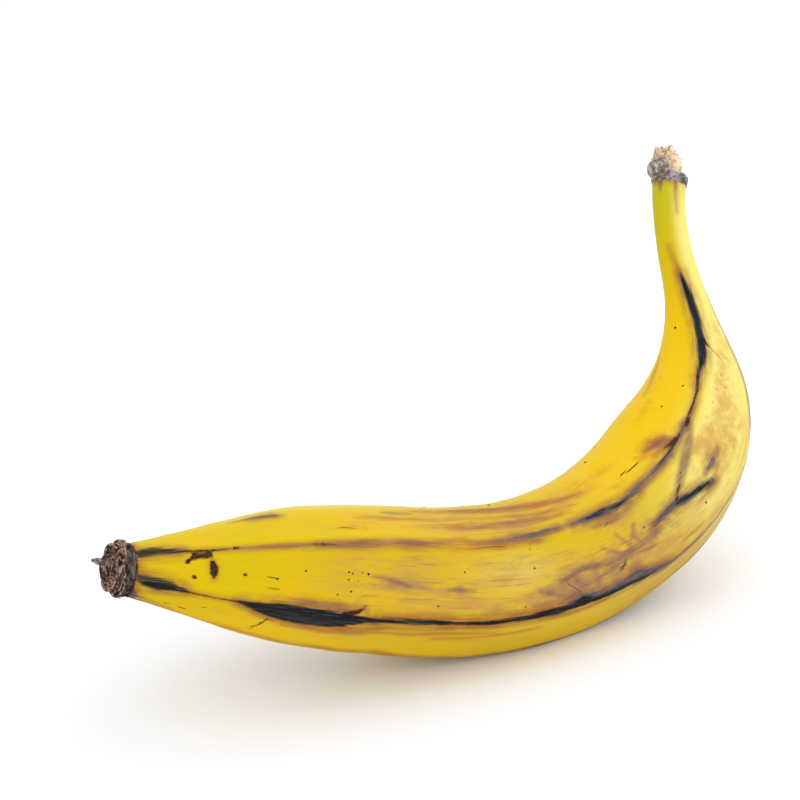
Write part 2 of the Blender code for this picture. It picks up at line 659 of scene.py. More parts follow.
@dataclass(frozen=True)
class PeelFinish:
    """Colours and grain of the ripe peel.

    Grains are fineness and stretch, clouds are scale, detail and roughness, and
    freckles are spacing, size and chance, all in mm of the straightened fruit.
    """

    lemon: Colour = (201, 174, 2)
    ripe: Colour = (210, 173, 0)
    tints: tuple[tuple[Tint, Colour], ...] = (
        (Tint.GOLD, (224, 184, 0)),
        (Tint.GREEN, (180, 176, 26)),
        # whitish yellow of the painted highlight on the lit bend and neck
        (Tint.PALE_AND_SHEEN, (226, 212, 116)),
    )
    tan: Colour = (186, 142, 66)
    streak: Colour = (156, 106, 50)
    dusk: Colour = (154, 112, 80)
    scorch: Colour = (176, 108, 30)
    halo: Colour = (144, 94, 50)
    speck: Colour = (60, 40, 24)
    speck_strength: float = 0.65
    roughness: float = 0.44
    roughness_swing: float = 0.22
    gloss: float = 0.08
    halo_reach: float = 3.6
    halo_strength: float = 0.88
    bump: float = 0.22
    bump_depth: float = 0.0002
    grains: tuple[tuple[str, float, float], ...] = (
        ("fine", 1.7, 18.0), ("hair", 3.4, 26.0), ("broad", 0.26, 4.5),
    )
    clouds: tuple[tuple[str, float, float, float], ...] = (
        ("mottle", 0.28, 4.0, 0.55), ("crumb", 0.9, 3.0, 0.6),
    )
    freckles: Path = ((8.0, 0.50, 0.18), (3.4, 0.24, 0.20))
    stains: tuple[tuple[Stain, StainFinish], ...] = (
        (Stain.RUST, StainFinish((158, 96, 40), (184, 124, 40), 0.84, 1.5, 2.6, 0.3)),
        (Stain.PLUM, StainFinish((116, 82, 72), (154, 112, 84), 0.80, 1.1, 1.8, 0.3)),
        (Stain.SLATE, StainFinish((72, 70, 76), (104, 94, 92), 0.92, 0.5, 1.2, 0.3)),
        (Stain.UMBER, StainFinish((46, 26, 17), (66, 38, 24), 0.97, 0.35, 1.8)),
        (Stain.OLIVE, StainFinish((38, 34, 26), (112, 102, 72), 0.97, 0.5, 2.2)),
        # ink's second colour: a painted sheen along its fibres
        (Stain.INK, StainFinish((9, 12, 16), (56, 66, 74), 0.99, 0.45, 2.8)),
    )

    def make(self) -> bpy.types.Material:
        """Build the peel's material."""
        return PeelCoat(self).build()


@dataclass
class PeelCoat:
    """The peel's material in the making, from the fields that the peel carries."""

    look: PeelFinish
    surface: Surface = field(init=False)
    graph: Graph = field(init=False)
    straight: Any = field(init=False)
    grain: dict[str, Any] = field(default_factory=dict)

    def __post_init__(self) -> None:
        """Start the material with its coordinates, its streaks and its mottle."""
        self.surface = Surface("ripe_peel", self.look.roughness, self.look.gloss)
        self.graph = self.surface.graph
        fibre = self.graph.field("fibre", "Vector")
        self.straight = self.graph.field("straight", "Vector")
        for name, fineness, stretch in self.look.grains:
            feeds = {"Coordinates": fibre, "Fineness": fineness, "Stretch": stretch}
            self.grain[name] = self.graph.place_group(fibre_grain(), feeds)
        for name, scale, detail, rough in self.look.clouds:
            self.grain[name] = self.graph.noise(self.straight, scale, detail, rough)

    def build(self) -> bpy.types.Material:
        """Lay the clean peel, its smears, its freckles and its stains, with a painted sheen on the ink.

        Returns:
            The finished material.
        """
        graph, look = self.graph, self.look
        fine, hair = self.grain["fine"], self.grain["hair"]
        colour = self.specks(self.smears(self.ground()))
        masks = {}
        # Each stain's second colour runs along the fibre streaks; on the ink it is a painted sheen
        thread = graph.remap(hair, 0.52, 0.66)
        for stain, finish in look.stains:
            masks[stain] = self.mask(stain, finish)
            body = graph.blend(thread, linear(finish.colour), linear(finish.fibre))
            colour = graph.blend(masks[stain], colour, body)
        self.surface.feed("Base Color", colour)
        rough = graph.times_plus(fine, look.roughness_swing, look.roughness - 0.5 * look.roughness_swing)
        self.surface.feed("Roughness", graph.times_plus(masks[Stain.INK], -0.05, rough))
        height = graph.times_plus(graph.times(masks[Stain.INK], hair), 1.6, fine)
        height = graph.times_plus(self.grain["mottle"], 0.5, height)
        self.surface.bump(height, look.bump, look.bump_depth)
        return self.surface.material

    def mixed(self, more: Any, less: Any) -> Any:
        """Six parts of one grain to four of another."""
        return self.graph.plus(self.graph.times(more, 0.6), self.graph.times(less, 0.4))

    def ground(self) -> Any:
        """Clean peel: yellow, its slow changes and the painted highlight of the pale tint.

        Returns:
            The colour before any smear or stain.
        """
        graph = self.graph
        cloud = graph.remap(graph.noise(self.straight, 0.05, 2.0), 0.36, 0.64)
        colour = graph.blend(cloud, linear(self.look.lemon), linear(self.look.ripe))
        uneven = graph.times_plus(self.grain["broad"], 0.7, 0.62)
        # Gold and green are the peel's own colour; the pale tint is chiefly a painted highlight
        for tint, shade in self.look.tints:
            share = graph.sum("MULTIPLY", graph.field(tint.value), uneven, clamp=True)
            colour = graph.blend(share, colour, linear(shade))
        dull = graph.remap(self.grain["fine"], 0.30, 0.72, 0.965, 1.03)
        tone = graph.add("ShaderNodeCombineColor", {0: dull, 1: dull, 2: dull})
        return graph.blend(1.0, colour, tone.outputs[0], "MULTIPLY")

    def smears(self, colour: Any) -> Any:
        """Tan streaks, dusky and scorched patches, and the halo of the dark marks.

        Args:
            colour: The peel's colour so far.

        Returns:
            The colour with its smears.
        """
        graph, look = self.graph, self.look
        fine, broad, mottle = (self.grain[name] for name in ("fine", "broad", "mottle"))
        tan = graph.field(Tint.TAN.value)
        mixed = self.mixed(broad, fine)
        wide = graph.times(tan, graph.remap(mixed, 0.38, 0.62, 0.18, 0.95))
        colour = graph.blend(wide, colour, linear(look.tan))
        thin = graph.times(graph.remap(fine, 0.55, 0.72), graph.times_plus(tan, 0.55, 0.05))
        colour = graph.blend(thin, colour, linear(look.streak))
        fold = graph.minus(graph.noise(self.straight, 0.11, 3.0), 0.5)
        vein = graph.remap(graph.sum("ABSOLUTE", fold), 0.03, 0.0)
        dabs = graph.remap(graph.noise(self.straight, 0.40, 4.0), 0.52, 0.66)
        cloudy = graph.times_plus(mottle, 0.7, graph.times(broad, 0.5))
        patches = ((Tint.DUSK, look.dusk, vein, 1.0), (Tint.SCORCH, look.scorch, dabs, 0.7))
        for tint, shade, mark, fill in patches:
            amount = graph.field(tint.value)
            patch = graph.remap(graph.times_plus(amount, 0.26, cloudy), 0.55, 1.0, 0.0, fill)
            patch = graph.sum("MAXIMUM", patch, graph.times(mark, 0.65))
            share = graph.times(patch, graph.remap(amount, 0.0, 0.8, 0.0, 0.9))
            colour = graph.blend(share, colour, linear(shade))
        near = graph.remap(graph.field("halo"), look.halo_reach, -0.2)
        uneven = graph.remap(graph.plus(mixed, graph.times(mottle, 0.4)), 0.55, 0.80, 0.3, 1.0)
        share = graph.times(graph.times(near, uneven), look.halo_strength)
        return graph.blend(share, colour, linear(look.halo))

    def specks(self, colour: Any) -> Any:
        """Scatter small brown freckles over a colour.

        Args:
            colour: The peel's colour so far.

        Returns:
            The colour with its freckles.
        """
        for spacing, size, chance in self.look.freckles:
            feeds = {"Coordinates": self.straight, "Spacing": spacing, "Size": size, "Chance": chance}
            mask = self.graph.place_group(freckles(), feeds)
            share = self.graph.times(mask, self.look.speck_strength)
            colour = self.graph.blend(share, colour, linear(self.look.speck))
        return colour

    def mask(self, stain: Stain, finish: StainFinish) -> Any:
        """Where one stain shows, from its field and the peel's streaks.

        Args:
            stain: The kind of stain.
            finish: How its edge breaks.

        Returns:
            The mask's socket.
        """
        graph = self.graph
        other = self.grain["crumb"] if stain is Stain.UMBER else self.grain["broad"]
        feeds = {
            "Distance": graph.field(stain.value), "Grain": self.mixed(self.grain["fine"], other),
            "Raggedness": finish.raggedness, "Softness": finish.softness,
        }
        mask = graph.times(graph.place_group(ragged_edge(), feeds), finish.strength)
        if finish.patchiness:
            kept = graph.remap(self.grain["broad"], 0.36, 0.58, 1.0 - finish.patchiness, 1.0)
            mask = graph.times(mask, kept)
        return mask


@dataclass(frozen=True)
class DryFinish:
    """A dry, dead surface: the scar, the stalk, a thread or a scab.

    Where a piece carries its own grain, shaded is the colour of the shade
    painted on it: in the scar's hollow, and on the core beside the lobe.
    """

    name: str
    pale: Colour
    middle: Colour
    dark: Colour
    scale: float = 900.0
    stretch: Triple = (1.0, 1.0, 1.0)
    roughness: float = 0.85
    gloss: float = 0.1
    relief: float = 0.5
    relief_depth: float = 0.0004
    pitting: float = 0.45
    carried: bool = False
    # colour and strength of the painted shade that a carried hollow field lays on
    shaded: Colour = (28, 22, 20)
    shading: float = 0.85

    def make(self) -> bpy.types.Material:
        """Build the material.

        Returns:
            A material whose grain follows the piece's own field where it
            carries one, and its own coordinates otherwise.
        """
        surface = Surface(self.name, self.roughness, self.gloss)
        graph = surface.graph
        if self.carried:
            place = graph.field("straight", "Vector")
        else:
            place = graph.add("ShaderNodeTexCoord").outputs["Object"]
        place = graph.vector("MULTIPLY", place, self.stretch)
        coarse = graph.noise(place, self.scale * 0.35, 3.0, 0.6)
        close = graph.noise(place, self.scale, 4.0, 0.65)
        colour = graph.blend(graph.remap(coarse, 0.38, 0.62), linear(self.dark), linear(self.middle))
        light = graph.remap(graph.plus(close, graph.times(coarse, 0.3)), 0.58, 0.78)
        colour = graph.blend(light, colour, linear(self.pale))
        shade = tuple(self.pitting * part for part in self.dark)
        colour = graph.blend(graph.remap(close, 0.28, 0.40), linear(shade), colour)
        if self.carried:
            # painted shade, as much as the hollow field says
            hollow = graph.times(graph.field("hollow"), self.shading)
            colour = graph.blend(hollow, colour, linear(self.shaded))
        surface.feed("Base Color", colour)
        surface.bump(close, self.relief, self.relief_depth)
        return surface.material


@dataclass
class Standing:
    """The fruit's form, set down where the solid stands."""

    form: FruitForm
    rings: int = 132
    sides: int = 72
    offset: np.ndarray = field(default_factory=lambda: np.zeros(3))

    def settle(self) -> None:
        """Find where the fruit stands, from its form and the solid's box."""
        form = self.form
        angle = full_turn(self.sides)[None, :]
        body = np.linspace(0.0, form.length, self.rings)[:, None]
        rings = [form.points(*np.broadcast_arrays(body, angle), form.radius(body, angle))]
        ends = [(-rise * form.scar_rise, share * form.tip_radius) for rise, share in form.scar_steps]
        ends.append((form.length + form.stub_length, form.stem_radius - form.stub_taper))
        for distance, radius in ends:
            spot = np.full_like(angle, distance)
            rings.append(form.points(spot, angle, np.full_like(angle, radius)))
        flat = np.concatenate([ring.reshape(-1, 3) for ring in rings])
        low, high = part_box(NODE)
        for axis in (0, 1):
            here = 0.5 * (flat[:, axis].min() + flat[:, axis].max())
            self.offset[axis] = 0.5 * (low[axis] + high[axis]) - here
        self.offset[2] = low[2] - flat[:, 2].min() - form.rest_depth

    def put(self, points: np.ndarray) -> np.ndarray:
        """Set points down, pressed flat where the fruit rests.

        Args:
            points: Points of the form before it is set down.

        Returns:
            Their places in the scene.
        """
        placed = points + self.offset
        placed[..., 2] = np.maximum(placed[..., 2], 0.0)
        return placed

    def surface(self, along: float, around: float) -> Vector:
        """A point on the peel.

        Args:
            along: Millimetres from the blossom scar.
            around: Degrees round the fruit from the hollow side.

        Returns:
            Its place in the scene, before the peel's relief.
        """
        distance = np.array([along]) * MM
        angle = np.radians(np.array([around]))
        return Vector(self.put(self.form.points(distance, angle, self.form.radius(distance, angle)))[0])

    def axes_at(self, distance: float) -> Matrix:
        """A frame on the centre line: X to the hollow side, Y aside, Z onward.

        Args:
            distance: Metres from the blossom scar.

        Returns:
            The frame as a matrix.
        """
        along, up, turn = self.form.centre_line(np.array([distance]))
        zero = np.zeros(1)
        axes = (
            self.form.stand(-np.sin(turn), np.cos(turn), zero)[0],
            self.form.stand(zero, zero, zero + 1.0)[0],
            self.form.stand(np.cos(turn), np.sin(turn), zero)[0],
            self.form.stand(along, up, zero)[0] + self.offset,
        )
        matrix = Matrix.Identity(4)
        for column, axis in enumerate(axes):
            for row in range(3):
                matrix[row][column] = axis[row]
        return matrix

    def on_axis(self, distance: float, points: Any) -> list[Vector]:
        """Set points of a frame on the centre line into the scene."""
        matrix = self.axes_at(distance)
        return [matrix @ Vector(point) for point in points]


def mesh_object(name: str, points: Any, faces: Any, edges: Any = ()) -> bpy.types.Object:
    """Make a mesh object at the origin and link it to the scene.

    Args:
        name: The object's name.
        points: Coordinates in metres.
        faces: Corner numbers of each face.
        edges: Pairs of point numbers, where there are no faces.

    Returns:
        The new object.
    """
    mesh = bpy.data.meshes.new(name)
    mesh.from_pydata([tuple(point) for point in points], list(edges), list(faces))
    mesh.update()
    made = bpy.data.objects.new(name, mesh)
    bpy.context.scene.collection.objects.link(made)
    return made


def ring_faces(rings: int, sides: int) -> list[tuple[int, ...]]:
    """Faces of a closed tube of rings, with a polygon over each end.

    Args:
        rings: How many rings of points.
        sides: How many points in each.

    Returns:
        Corner numbers of each face.
    """
    faces: list[tuple[int, ...]] = []
    for low in range(0, (rings - 1) * sides, sides):
        high = low + sides
        for side in range(sides):
            after = (side + 1) % sides
            faces.append((low + side, low + after, high + after, high + side))
    faces.append(tuple(reversed(range(sides))))
    faces.append(tuple(range((rings - 1) * sides, rings * sides)))
    return faces


def carry(made: bpy.types.Object, name: str, values: Any) -> None:
    """Store values at a mesh's points.

    Args:
        made: The mesh object.
        name: Name of the field.
        values: One number, or one row of three, for each point.
    """
    stored = np.ascontiguousarray(values, dtype=np.float32)
    kind, part = ("FLOAT_VECTOR", "vector") if stored.shape[-1:] == (3,) else ("FLOAT", "value")
    made.data.attributes.new(name, kind, "POINT").data.foreach_set(part, stored.ravel())


@dataclass
class GrownTree:
    """A Geometry Nodes tree that turns an object into a finished piece."""

    name: str
    sizes: dict[str, Any]
    graph: Graph = field(init=False)
    given: Any = field(init=False)
    sockets: dict[str, str] = field(default_factory=dict)

    def __post_init__(self) -> None:
        """Start the tree with its geometry input and its named sizes."""
        self.graph = Graph(bpy.data.node_groups.new(self.name, "GeometryNodeTree"))
        self.graph.socket("Geometry", "NodeSocketGeometry")
        for name, value in self.sizes.items():
            kind = "NodeSocketInt" if isinstance(value, int) else "NodeSocketFloat"
            self.sockets[name] = self.graph.socket(name, kind, value=value).identifier
        self.sockets["Finish"] = self.graph.socket("Finish", "NodeSocketMaterial").identifier
        self.graph.socket("Geometry", "NodeSocketGeometry", "OUTPUT")
        self.given = self.graph.add("NodeGroupInput").outputs

    def carried(self, name: str, kind: str = "FLOAT") -> Any:
        """Read a field that the piece carries."""
        node = self.graph.add("GeometryNodeInputNamedAttribute", {"Name": name}, data_type=kind)
        return node.outputs[0]

    def position(self) -> Any:
        """Where each point is."""
        return self.graph.add("GeometryNodeInputPosition").outputs[0]

    def moved(self, geometry: Any, way: Any, reach: Any) -> Any:
        """Move points along a direction.

        Args:
            geometry: The geometry's socket.
            way: The direction.
            reach: How far, as a share of the direction's length.

        Returns:
            The moved geometry.
        """
        feeds = {"Geometry": geometry, "Offset": self.graph.vector("SCALE", way, reach)}
        return self.graph.add("GeometryNodeSetPosition", feeds).outputs[0]

    def jostled(self, geometry: Any, scale: float, detail: float, reach: Any) -> Any:
        """Push points aside by noise.

        Args:
            geometry: The geometry's socket.
            scale: Scale of the noise.
            detail: Its detail.
            reach: How far it pushes.

        Returns:
            The uneven geometry.
        """
        feeds = {"Vector": self.position(), "Scale": scale, "Detail": detail}
        cloud = self.graph.add("ShaderNodeTexNoise", feeds).outputs["Color"]
        return self.moved(geometry, self.graph.vector("SUBTRACT", cloud, (0.5, 0.5, 0.5)), reach)

    def scattered(self, shape: Any, way: Any, scale: Any) -> Any:
        """Set a shape on every point.

        Args:
            shape: The shape's geometry.
            way: The direction that its third axis takes.
            scale: Its size along each axis.

        Returns:
            The real geometry of them all.
        """
        aligned = self.graph.add("FunctionNodeAlignRotationToVector", {"Vector": way}, axis="Z")
        feeds = {
            "Points": self.given["Geometry"], "Instance": shape,
            "Rotation": aligned.outputs[0], "Scale": scale,
        }
        placed = self.graph.add("GeometryNodeInstanceOnPoints", feeds)
        return self.graph.add("GeometryNodeRealizeInstances", {0: placed.outputs[0]}).outputs[0]

    def tube(self, curve: Any, width: Any) -> Any:
        """Give a curve a round, capped body.

        Args:
            curve: The curve's geometry.
            width: Half width at each of its points.

        Returns:
            The tube's geometry.
        """
        feeds = {"Resolution": CORD_SIDES, "Radius": 1.0}
        profile = self.graph.add("GeometryNodeCurvePrimitiveCircle", feeds)
        feeds = {"Curve": curve, "Profile Curve": profile.outputs[0], "Scale": width, "Fill Caps": True}
        return self.graph.add("GeometryNodeCurveToMesh", feeds).outputs[0]

    def close(self, geometry: Any) -> "GrownTree":
        """End the tree: real meshes, smooth, with their material.

        Args:
            geometry: What the tree has made.

        Returns:
            The tree, ready to apply.
        """
        smooth = self.graph.add("GeometryNodeSetShadeSmooth", {"Geometry": geometry})
        real = self.graph.add("GeometryNodeRealizeInstances", {"Geometry": smooth.outputs[0]})
        feeds = {"Geometry": real.outputs[0], "Material": self.given["Finish"]}
        dressed = self.graph.add("GeometryNodeSetMaterial", feeds)
        self.graph.add("NodeGroupOutput", {"Geometry": dressed.outputs[0]})
        return self

    def apply(self, made: bpy.types.Object, finish: bpy.types.Material) -> bpy.types.Object:
        """Run the tree on an object and keep the result as its plain mesh.

        Args:
            made: The object to grow.
            finish: The material of the result.

        Returns:
            The same object, with no modifier.
        """
        modifier = made.modifiers.new(self.name, "NODES")
        modifier.node_group = self.graph.tree
        for name, value in dict(self.sizes, Finish=finish).items():
            modifier[self.sockets[name]] = value
        evaluated = made.evaluated_get(bpy.context.evaluated_depsgraph_get())
        grown = bpy.data.meshes.new_from_object(evaluated)
        made.modifiers.remove(modifier)
        spare = made.data
        made.data = grown
        grown.name = made.name
        bpy.data.meshes.remove(spare)
        return made


def relief_tree(name: str, sizes: dict[str, Any], sunk: str = "") -> GrownTree:
    """Tree that gives a surface its uneven growth.

    Args:
        name: The tree's name.
        sizes: Swell and Wrinkle heights in metres, their scales, and Drawn, how
            far the wrinkles run along the third axis of the straight field.
        sunk: A distance field in mm inside which the surface sinks, or none.

    Returns:
        The tree, ready to apply.
    """
    tree = GrownTree(name, sizes)
    graph, given = tree.graph, tree.given
    straight = tree.carried("straight", "FLOAT_VECTOR")
    swell = graph.noise(straight, given["Swell Scale"], 2.0)
    swell = graph.times(graph.minus(swell, 0.5), given["Swell"])
    wrinkle = graph.noise(graph.drawn(straight, given["Drawn"]), given["Wrinkle Scale"], 4.0)
    wrinkle = graph.times(graph.minus(wrinkle, 0.5), given["Wrinkle"])
    height = graph.plus(swell, wrinkle)
    if sunk:
        inside = graph.remap(tree.carried(sunk), 0.6, -1.2)
        height = graph.minus(height, graph.times(inside, given["Sink"]))
    level = graph.add("ShaderNodeSeparateXYZ", {0: tree.position()}).outputs["Z"]
    height = graph.times(height, graph.remap(level, 0.0002, 0.004))
    normal = graph.add("GeometryNodeInputNormal").outputs[0]
    return tree.close(tree.moved(given["Geometry"], normal, height))


def strand_tree(name: str, sizes: dict[str, Any]) -> GrownTree:
    """Tree that roots curling, tapered strands on the points it is given.

    Args:
        name: The tree's name.
        sizes: Shortest and Longest length, Thickness and Curl in metres, Splay
            from 0 to 1, and Seed.

    Returns:
        The tree, ready to apply to points that carry a way field.
    """
    tree = GrownTree(name, sizes)
    graph, given = tree.graph, tree.given
    line = graph.add("GeometryNodeCurvePrimitiveLine", {"End": (0.0, 0.0, 1.0)})
    line = graph.add("GeometryNodeResampleCurve", {"Curve": line.outputs[0], "Count": STRAND_POINTS})
    feeds = {0: (-1.0, -1.0, -1.0), 1: (1.0, 1.0, 1.0), "Seed": given["Seed"]}
    jitter = graph.add("FunctionNodeRandomValue", feeds, data_type="FLOAT_VECTOR").outputs[0]
    jitter = graph.vector("SCALE", jitter, given["Splay"])
    way = graph.vector("ADD", tree.carried("way", "FLOAT_VECTOR"), jitter)
    feeds = {2: 0.0, 3: 1.0, "Seed": given["Seed"]}
    draw = graph.add("FunctionNodeRandomValue", feeds, data_type="FLOAT").outputs[1]
    span = graph.minus(given["Longest"], given["Shortest"])
    length = graph.times_plus(draw, span, given["Shortest"])
    real = tree.scattered(line.outputs[0], way, graph.joined(1.0, 1.0, length))
    share = graph.add("GeometryNodeSplineParameter").outputs["Factor"]
    reach = graph.times(graph.sum("POWER", share, 1.5), given["Curl"])
    bent = tree.jostled(real, 420.0, 1.0, reach)
    taper = graph.times(graph.remap(share, 1.3, 0.2, 0.25, 1.0), given["Thickness"])
    return tree.close(tree.tube(bent, taper))


def scab_tree(name: str, sizes: dict[str, Any]) -> GrownTree:
    """Tree that sets a lumpy, flattened scab on each point it is given.

    Args:
        name: The tree's name.
        sizes: Flatness as a share of the scab's size, and Lumpiness in metres.

    Returns:
        The tree, ready to apply to points that carry way and size fields.
    """
    tree = GrownTree(name, sizes)
    ball = tree.graph.add("GeometryNodeMeshIcoSphere", {"Radius": 1.0, "Subdivisions": 2})
    size = tree.carried("size")
    scale = tree.graph.joined(size, size, tree.graph.times(size, tree.given["Flatness"]))
    real = tree.scattered(ball.outputs[0], tree.carried("way", "FLOAT_VECTOR"), scale)
    return tree.close(tree.jostled(real, 1600.0, 2.0, tree.given["Lumpiness"]))


def cord_tree(name: str, sizes: dict[str, Any]) -> GrownTree:
    """Tree that runs a thin raised cord along the edges it is given.

    Args:
        name: The tree's name.
        sizes: Fatness, as a share of each point's size.

    Returns:
        The tree, ready to apply to edges whose points carry a size field.
    """
    tree = GrownTree(name, sizes)
    line = tree.graph.add("GeometryNodeMeshToCurve", {"Mesh": tree.given["Geometry"]})
    width = tree.graph.times(tree.carried("size"), tree.given["Fatness"])
    return tree.close(tree.tube(line.outputs[0], width))


@dataclass
class Cords:
    """Lines of points that thin cords are run along."""

    spots: list[Vector] = field(default_factory=list)
    widths: list[float] = field(default_factory=list)
    edges: list[tuple[int, int]] = field(default_factory=list)

    def add(self, spots: list[Vector], widths: Any) -> None:
        """Add one line.

        Args:
            spots: Its points in order.
            widths: Half width at each, in metres.
        """
        first = len(self.spots)
        self.spots += spots
        self.widths += list(widths)
        self.edges += [(i, i + 1) for i in range(first, len(self.spots) - 1)]

    def grow(self, name: str, fatness: float, finish: bpy.types.Material) -> bpy.types.Object:
        """Make all the cords as one piece.

        Args:
            name: The piece's name.
            fatness: Share of each width that the cords take.
            finish: Their material.

        Returns:
            The cords as a plain mesh.
        """
        made = mesh_object(name, self.spots, (), self.edges)
        carry(made, "size", self.widths)
        return cord_tree(name + "_lines", {"Fatness": fatness}).apply(made, finish)


@dataclass
class Roots:
    """Points that something grows from, and the direction it takes at each."""

    spots: list[Vector] = field(default_factory=list)
    ways: list[Vector] = field(default_factory=list)

    def add(self, spot: Vector, way: Vector) -> None:
        """Add one point."""
        self.spots.append(spot)
        self.ways.append(way)

    def plant(self, name: str) -> bpy.types.Object:
        """Make the points as an object that carries their directions.

        Args:
            name: The object's name.

        Returns:
            The object, ready for a tree to grow.
        """
        made = mesh_object(name, self.spots, ())
        carry(made, "way", self.ways)
        return made


def band(along: float, stagger: float, width: float, swell: float) -> Path:
    """A wavy band right round the fruit.

    Args:
        along: Millimetres from the blossom scar.
        stagger: How far every other point stands on.
        width: Half width, in mm.
        swell: How much wider every other point is.

    Returns:
        The band's path.
    """
    turns = range(13)
    return tuple((along + stagger * (i % 2), i * 30.0 - 180.0, width + swell * (i % 2)) for i in turns)


# Sizes of the trees: metres for heights and lengths, per mm for scales, and
# shares for Drawn, Splay and Flatness
PEEL_RELIEF = {
    "Swell": 0.0011, "Swell Scale": 0.05, "Wrinkle": 0.00020, "Wrinkle Scale": 0.45,
    "Drawn": 9.0, "Sink": 0.00025,
}
SCAR_RELIEF = {
    "Swell": 0.0012, "Swell Scale": 0.4, "Wrinkle": 0.0008, "Wrinkle Scale": 1.0, "Drawn": 0.7,
}
STUB_RELIEF = {
    "Swell": 0.0009, "Swell Scale": 0.35, "Wrinkle": 0.0004, "Wrinkle Scale": 1.1, "Drawn": 2.5,
}
CORE_RELIEF = dict(STUB_RELIEF, Swell=0.0036, Wrinkle=0.0012, Drawn=3.5)
SCAR_STRANDS = {
    "Shortest": 0.0010, "Longest": 0.0026, "Thickness": 0.00013, "Curl": 0.003, "Splay": 0.3, "Seed": 7,
}
SCAB_SIZES = {"Flatness": 0.22, "Lumpiness": 0.0005}
STUB_STRANDS = dict(SCAR_STRANDS, Shortest=0.0008, Longest=0.0022, Thickness=0.00014, Seed=4)

# Marks by kind: each path is of mm along, degrees round, half width in mm
UPPER_RIDGE: Strokes = {
    Stain.OLIVE: (
        ((-1, 64, 1), (3, 60, 1.2), (6, 59, 1.1), (9, 62, 0.8), (13, 65, 0.3)),
        ((2, 56, 0.6), (5, 53, 0.6), (8, 54, 0.3)),
    ),
    Stain.UMBER: (
        ((10, 64, 0.4), (16, 67, 0.3), (22, 69, 0.2), (26, 69, 0.05)),
        ((27, 68, 0.3), (28, 69, 0.3)),
        ((48, 72, 0.05), (52, 72, 0.35), (56, 72, 0.05)),
        ((180, 61, 0.2), (190, 60, 0.5), (196, 59, 0.2)),
        ((200, 60, 0.2), (202.5, 59.5, 0.8), (205, 59, 0.2)),
        ((204, 58, 0.35), (214, 58, 0.3), (226, 57, 0.45)),
        ((241, 68, 0.8), (238, 74, 0.2)),
    ),
    Stain.RUST: (
        ((16, 67, 0.6), (24, 69, 0.7), (34, 70, 0.7), (46, 72, 0.8)),
        (
            (26, 70, 0.5), (45, 72, 0.9), (60, 71, 1.7), (80, 70, 1.9), (98, 68, 1.9), (112, 69, 1.5),
            (124, 69, 1.2),
        ),
        ((200, 60, 1.6), (214, 59, 1.3), (228, 58, 1.1)),
        ((262, 54, 0.8), (268, 45, 0.8), (274, 36, 0.5)),
    ),
    Stain.PLUM: (
        ((20, 69, 0.2), (32, 70, 0.35), (46, 72, 0.4)),
        ((46, 73, 0.5), (56, 72, 0.9), (66, 71, 1.1), (78, 70, 0.9), (92, 68, 0.5)),
        ((92, 67, 0.3), (104, 67, 0.6), (112, 67, 0.9), (124, 66, 1.2), (133, 65, 0.9)),
        ((130, 65, 0.8), (140, 65, 0.9), (150, 66, 1.3), (162, 67, 1.2)),
        ((160, 66, 1.4), (172, 64, 1.3), (184, 62, 1.4), (196, 60, 1.5), (204, 59, 1.6)),
        ((199, 61, 0.9), (202, 60, 1.7), (205, 59, 0.9)),
        ((204, 59, 0.8), (214, 58, 0.7), (224, 58, 0.8)),
    ),
    Stain.SLATE: (
        ((109, 66, 0.2), (115, 66, 0.6), (122, 65, 0.8), (129, 64, 0.6), (133, 64, 0.2)),
        ((138, 65, 0.4), (146, 65, 0.9), (154, 66, 1.2), (162, 66, 1), (168, 65, 0.5)),
        ((164, 64, 0.3), (174, 62, 0.3), (186, 61, 0.6), (196, 59, 0.4), (201, 59, 0.5)),
        ((225, 58, 0.8), (234, 62, 1.4), (248, 65, 1.5), (258, 61, 1.3), (264, 55, 0.7)),
    ),
    Stain.INK: (
        ((144, 65, 0.2), (151, 65, 0.5), (158, 66, 0.5), (163, 65, 0.2)),
        ((221, 57, 0.2), (227, 58, 0.6), (233, 61, 1.1), (240, 64, 1.2), (248, 65, 1.2), (256, 62, 1.1)),
        ((256, 62, 1.1), (260, 59, 0.8), (263, 56, 0.3)),
    ),
}

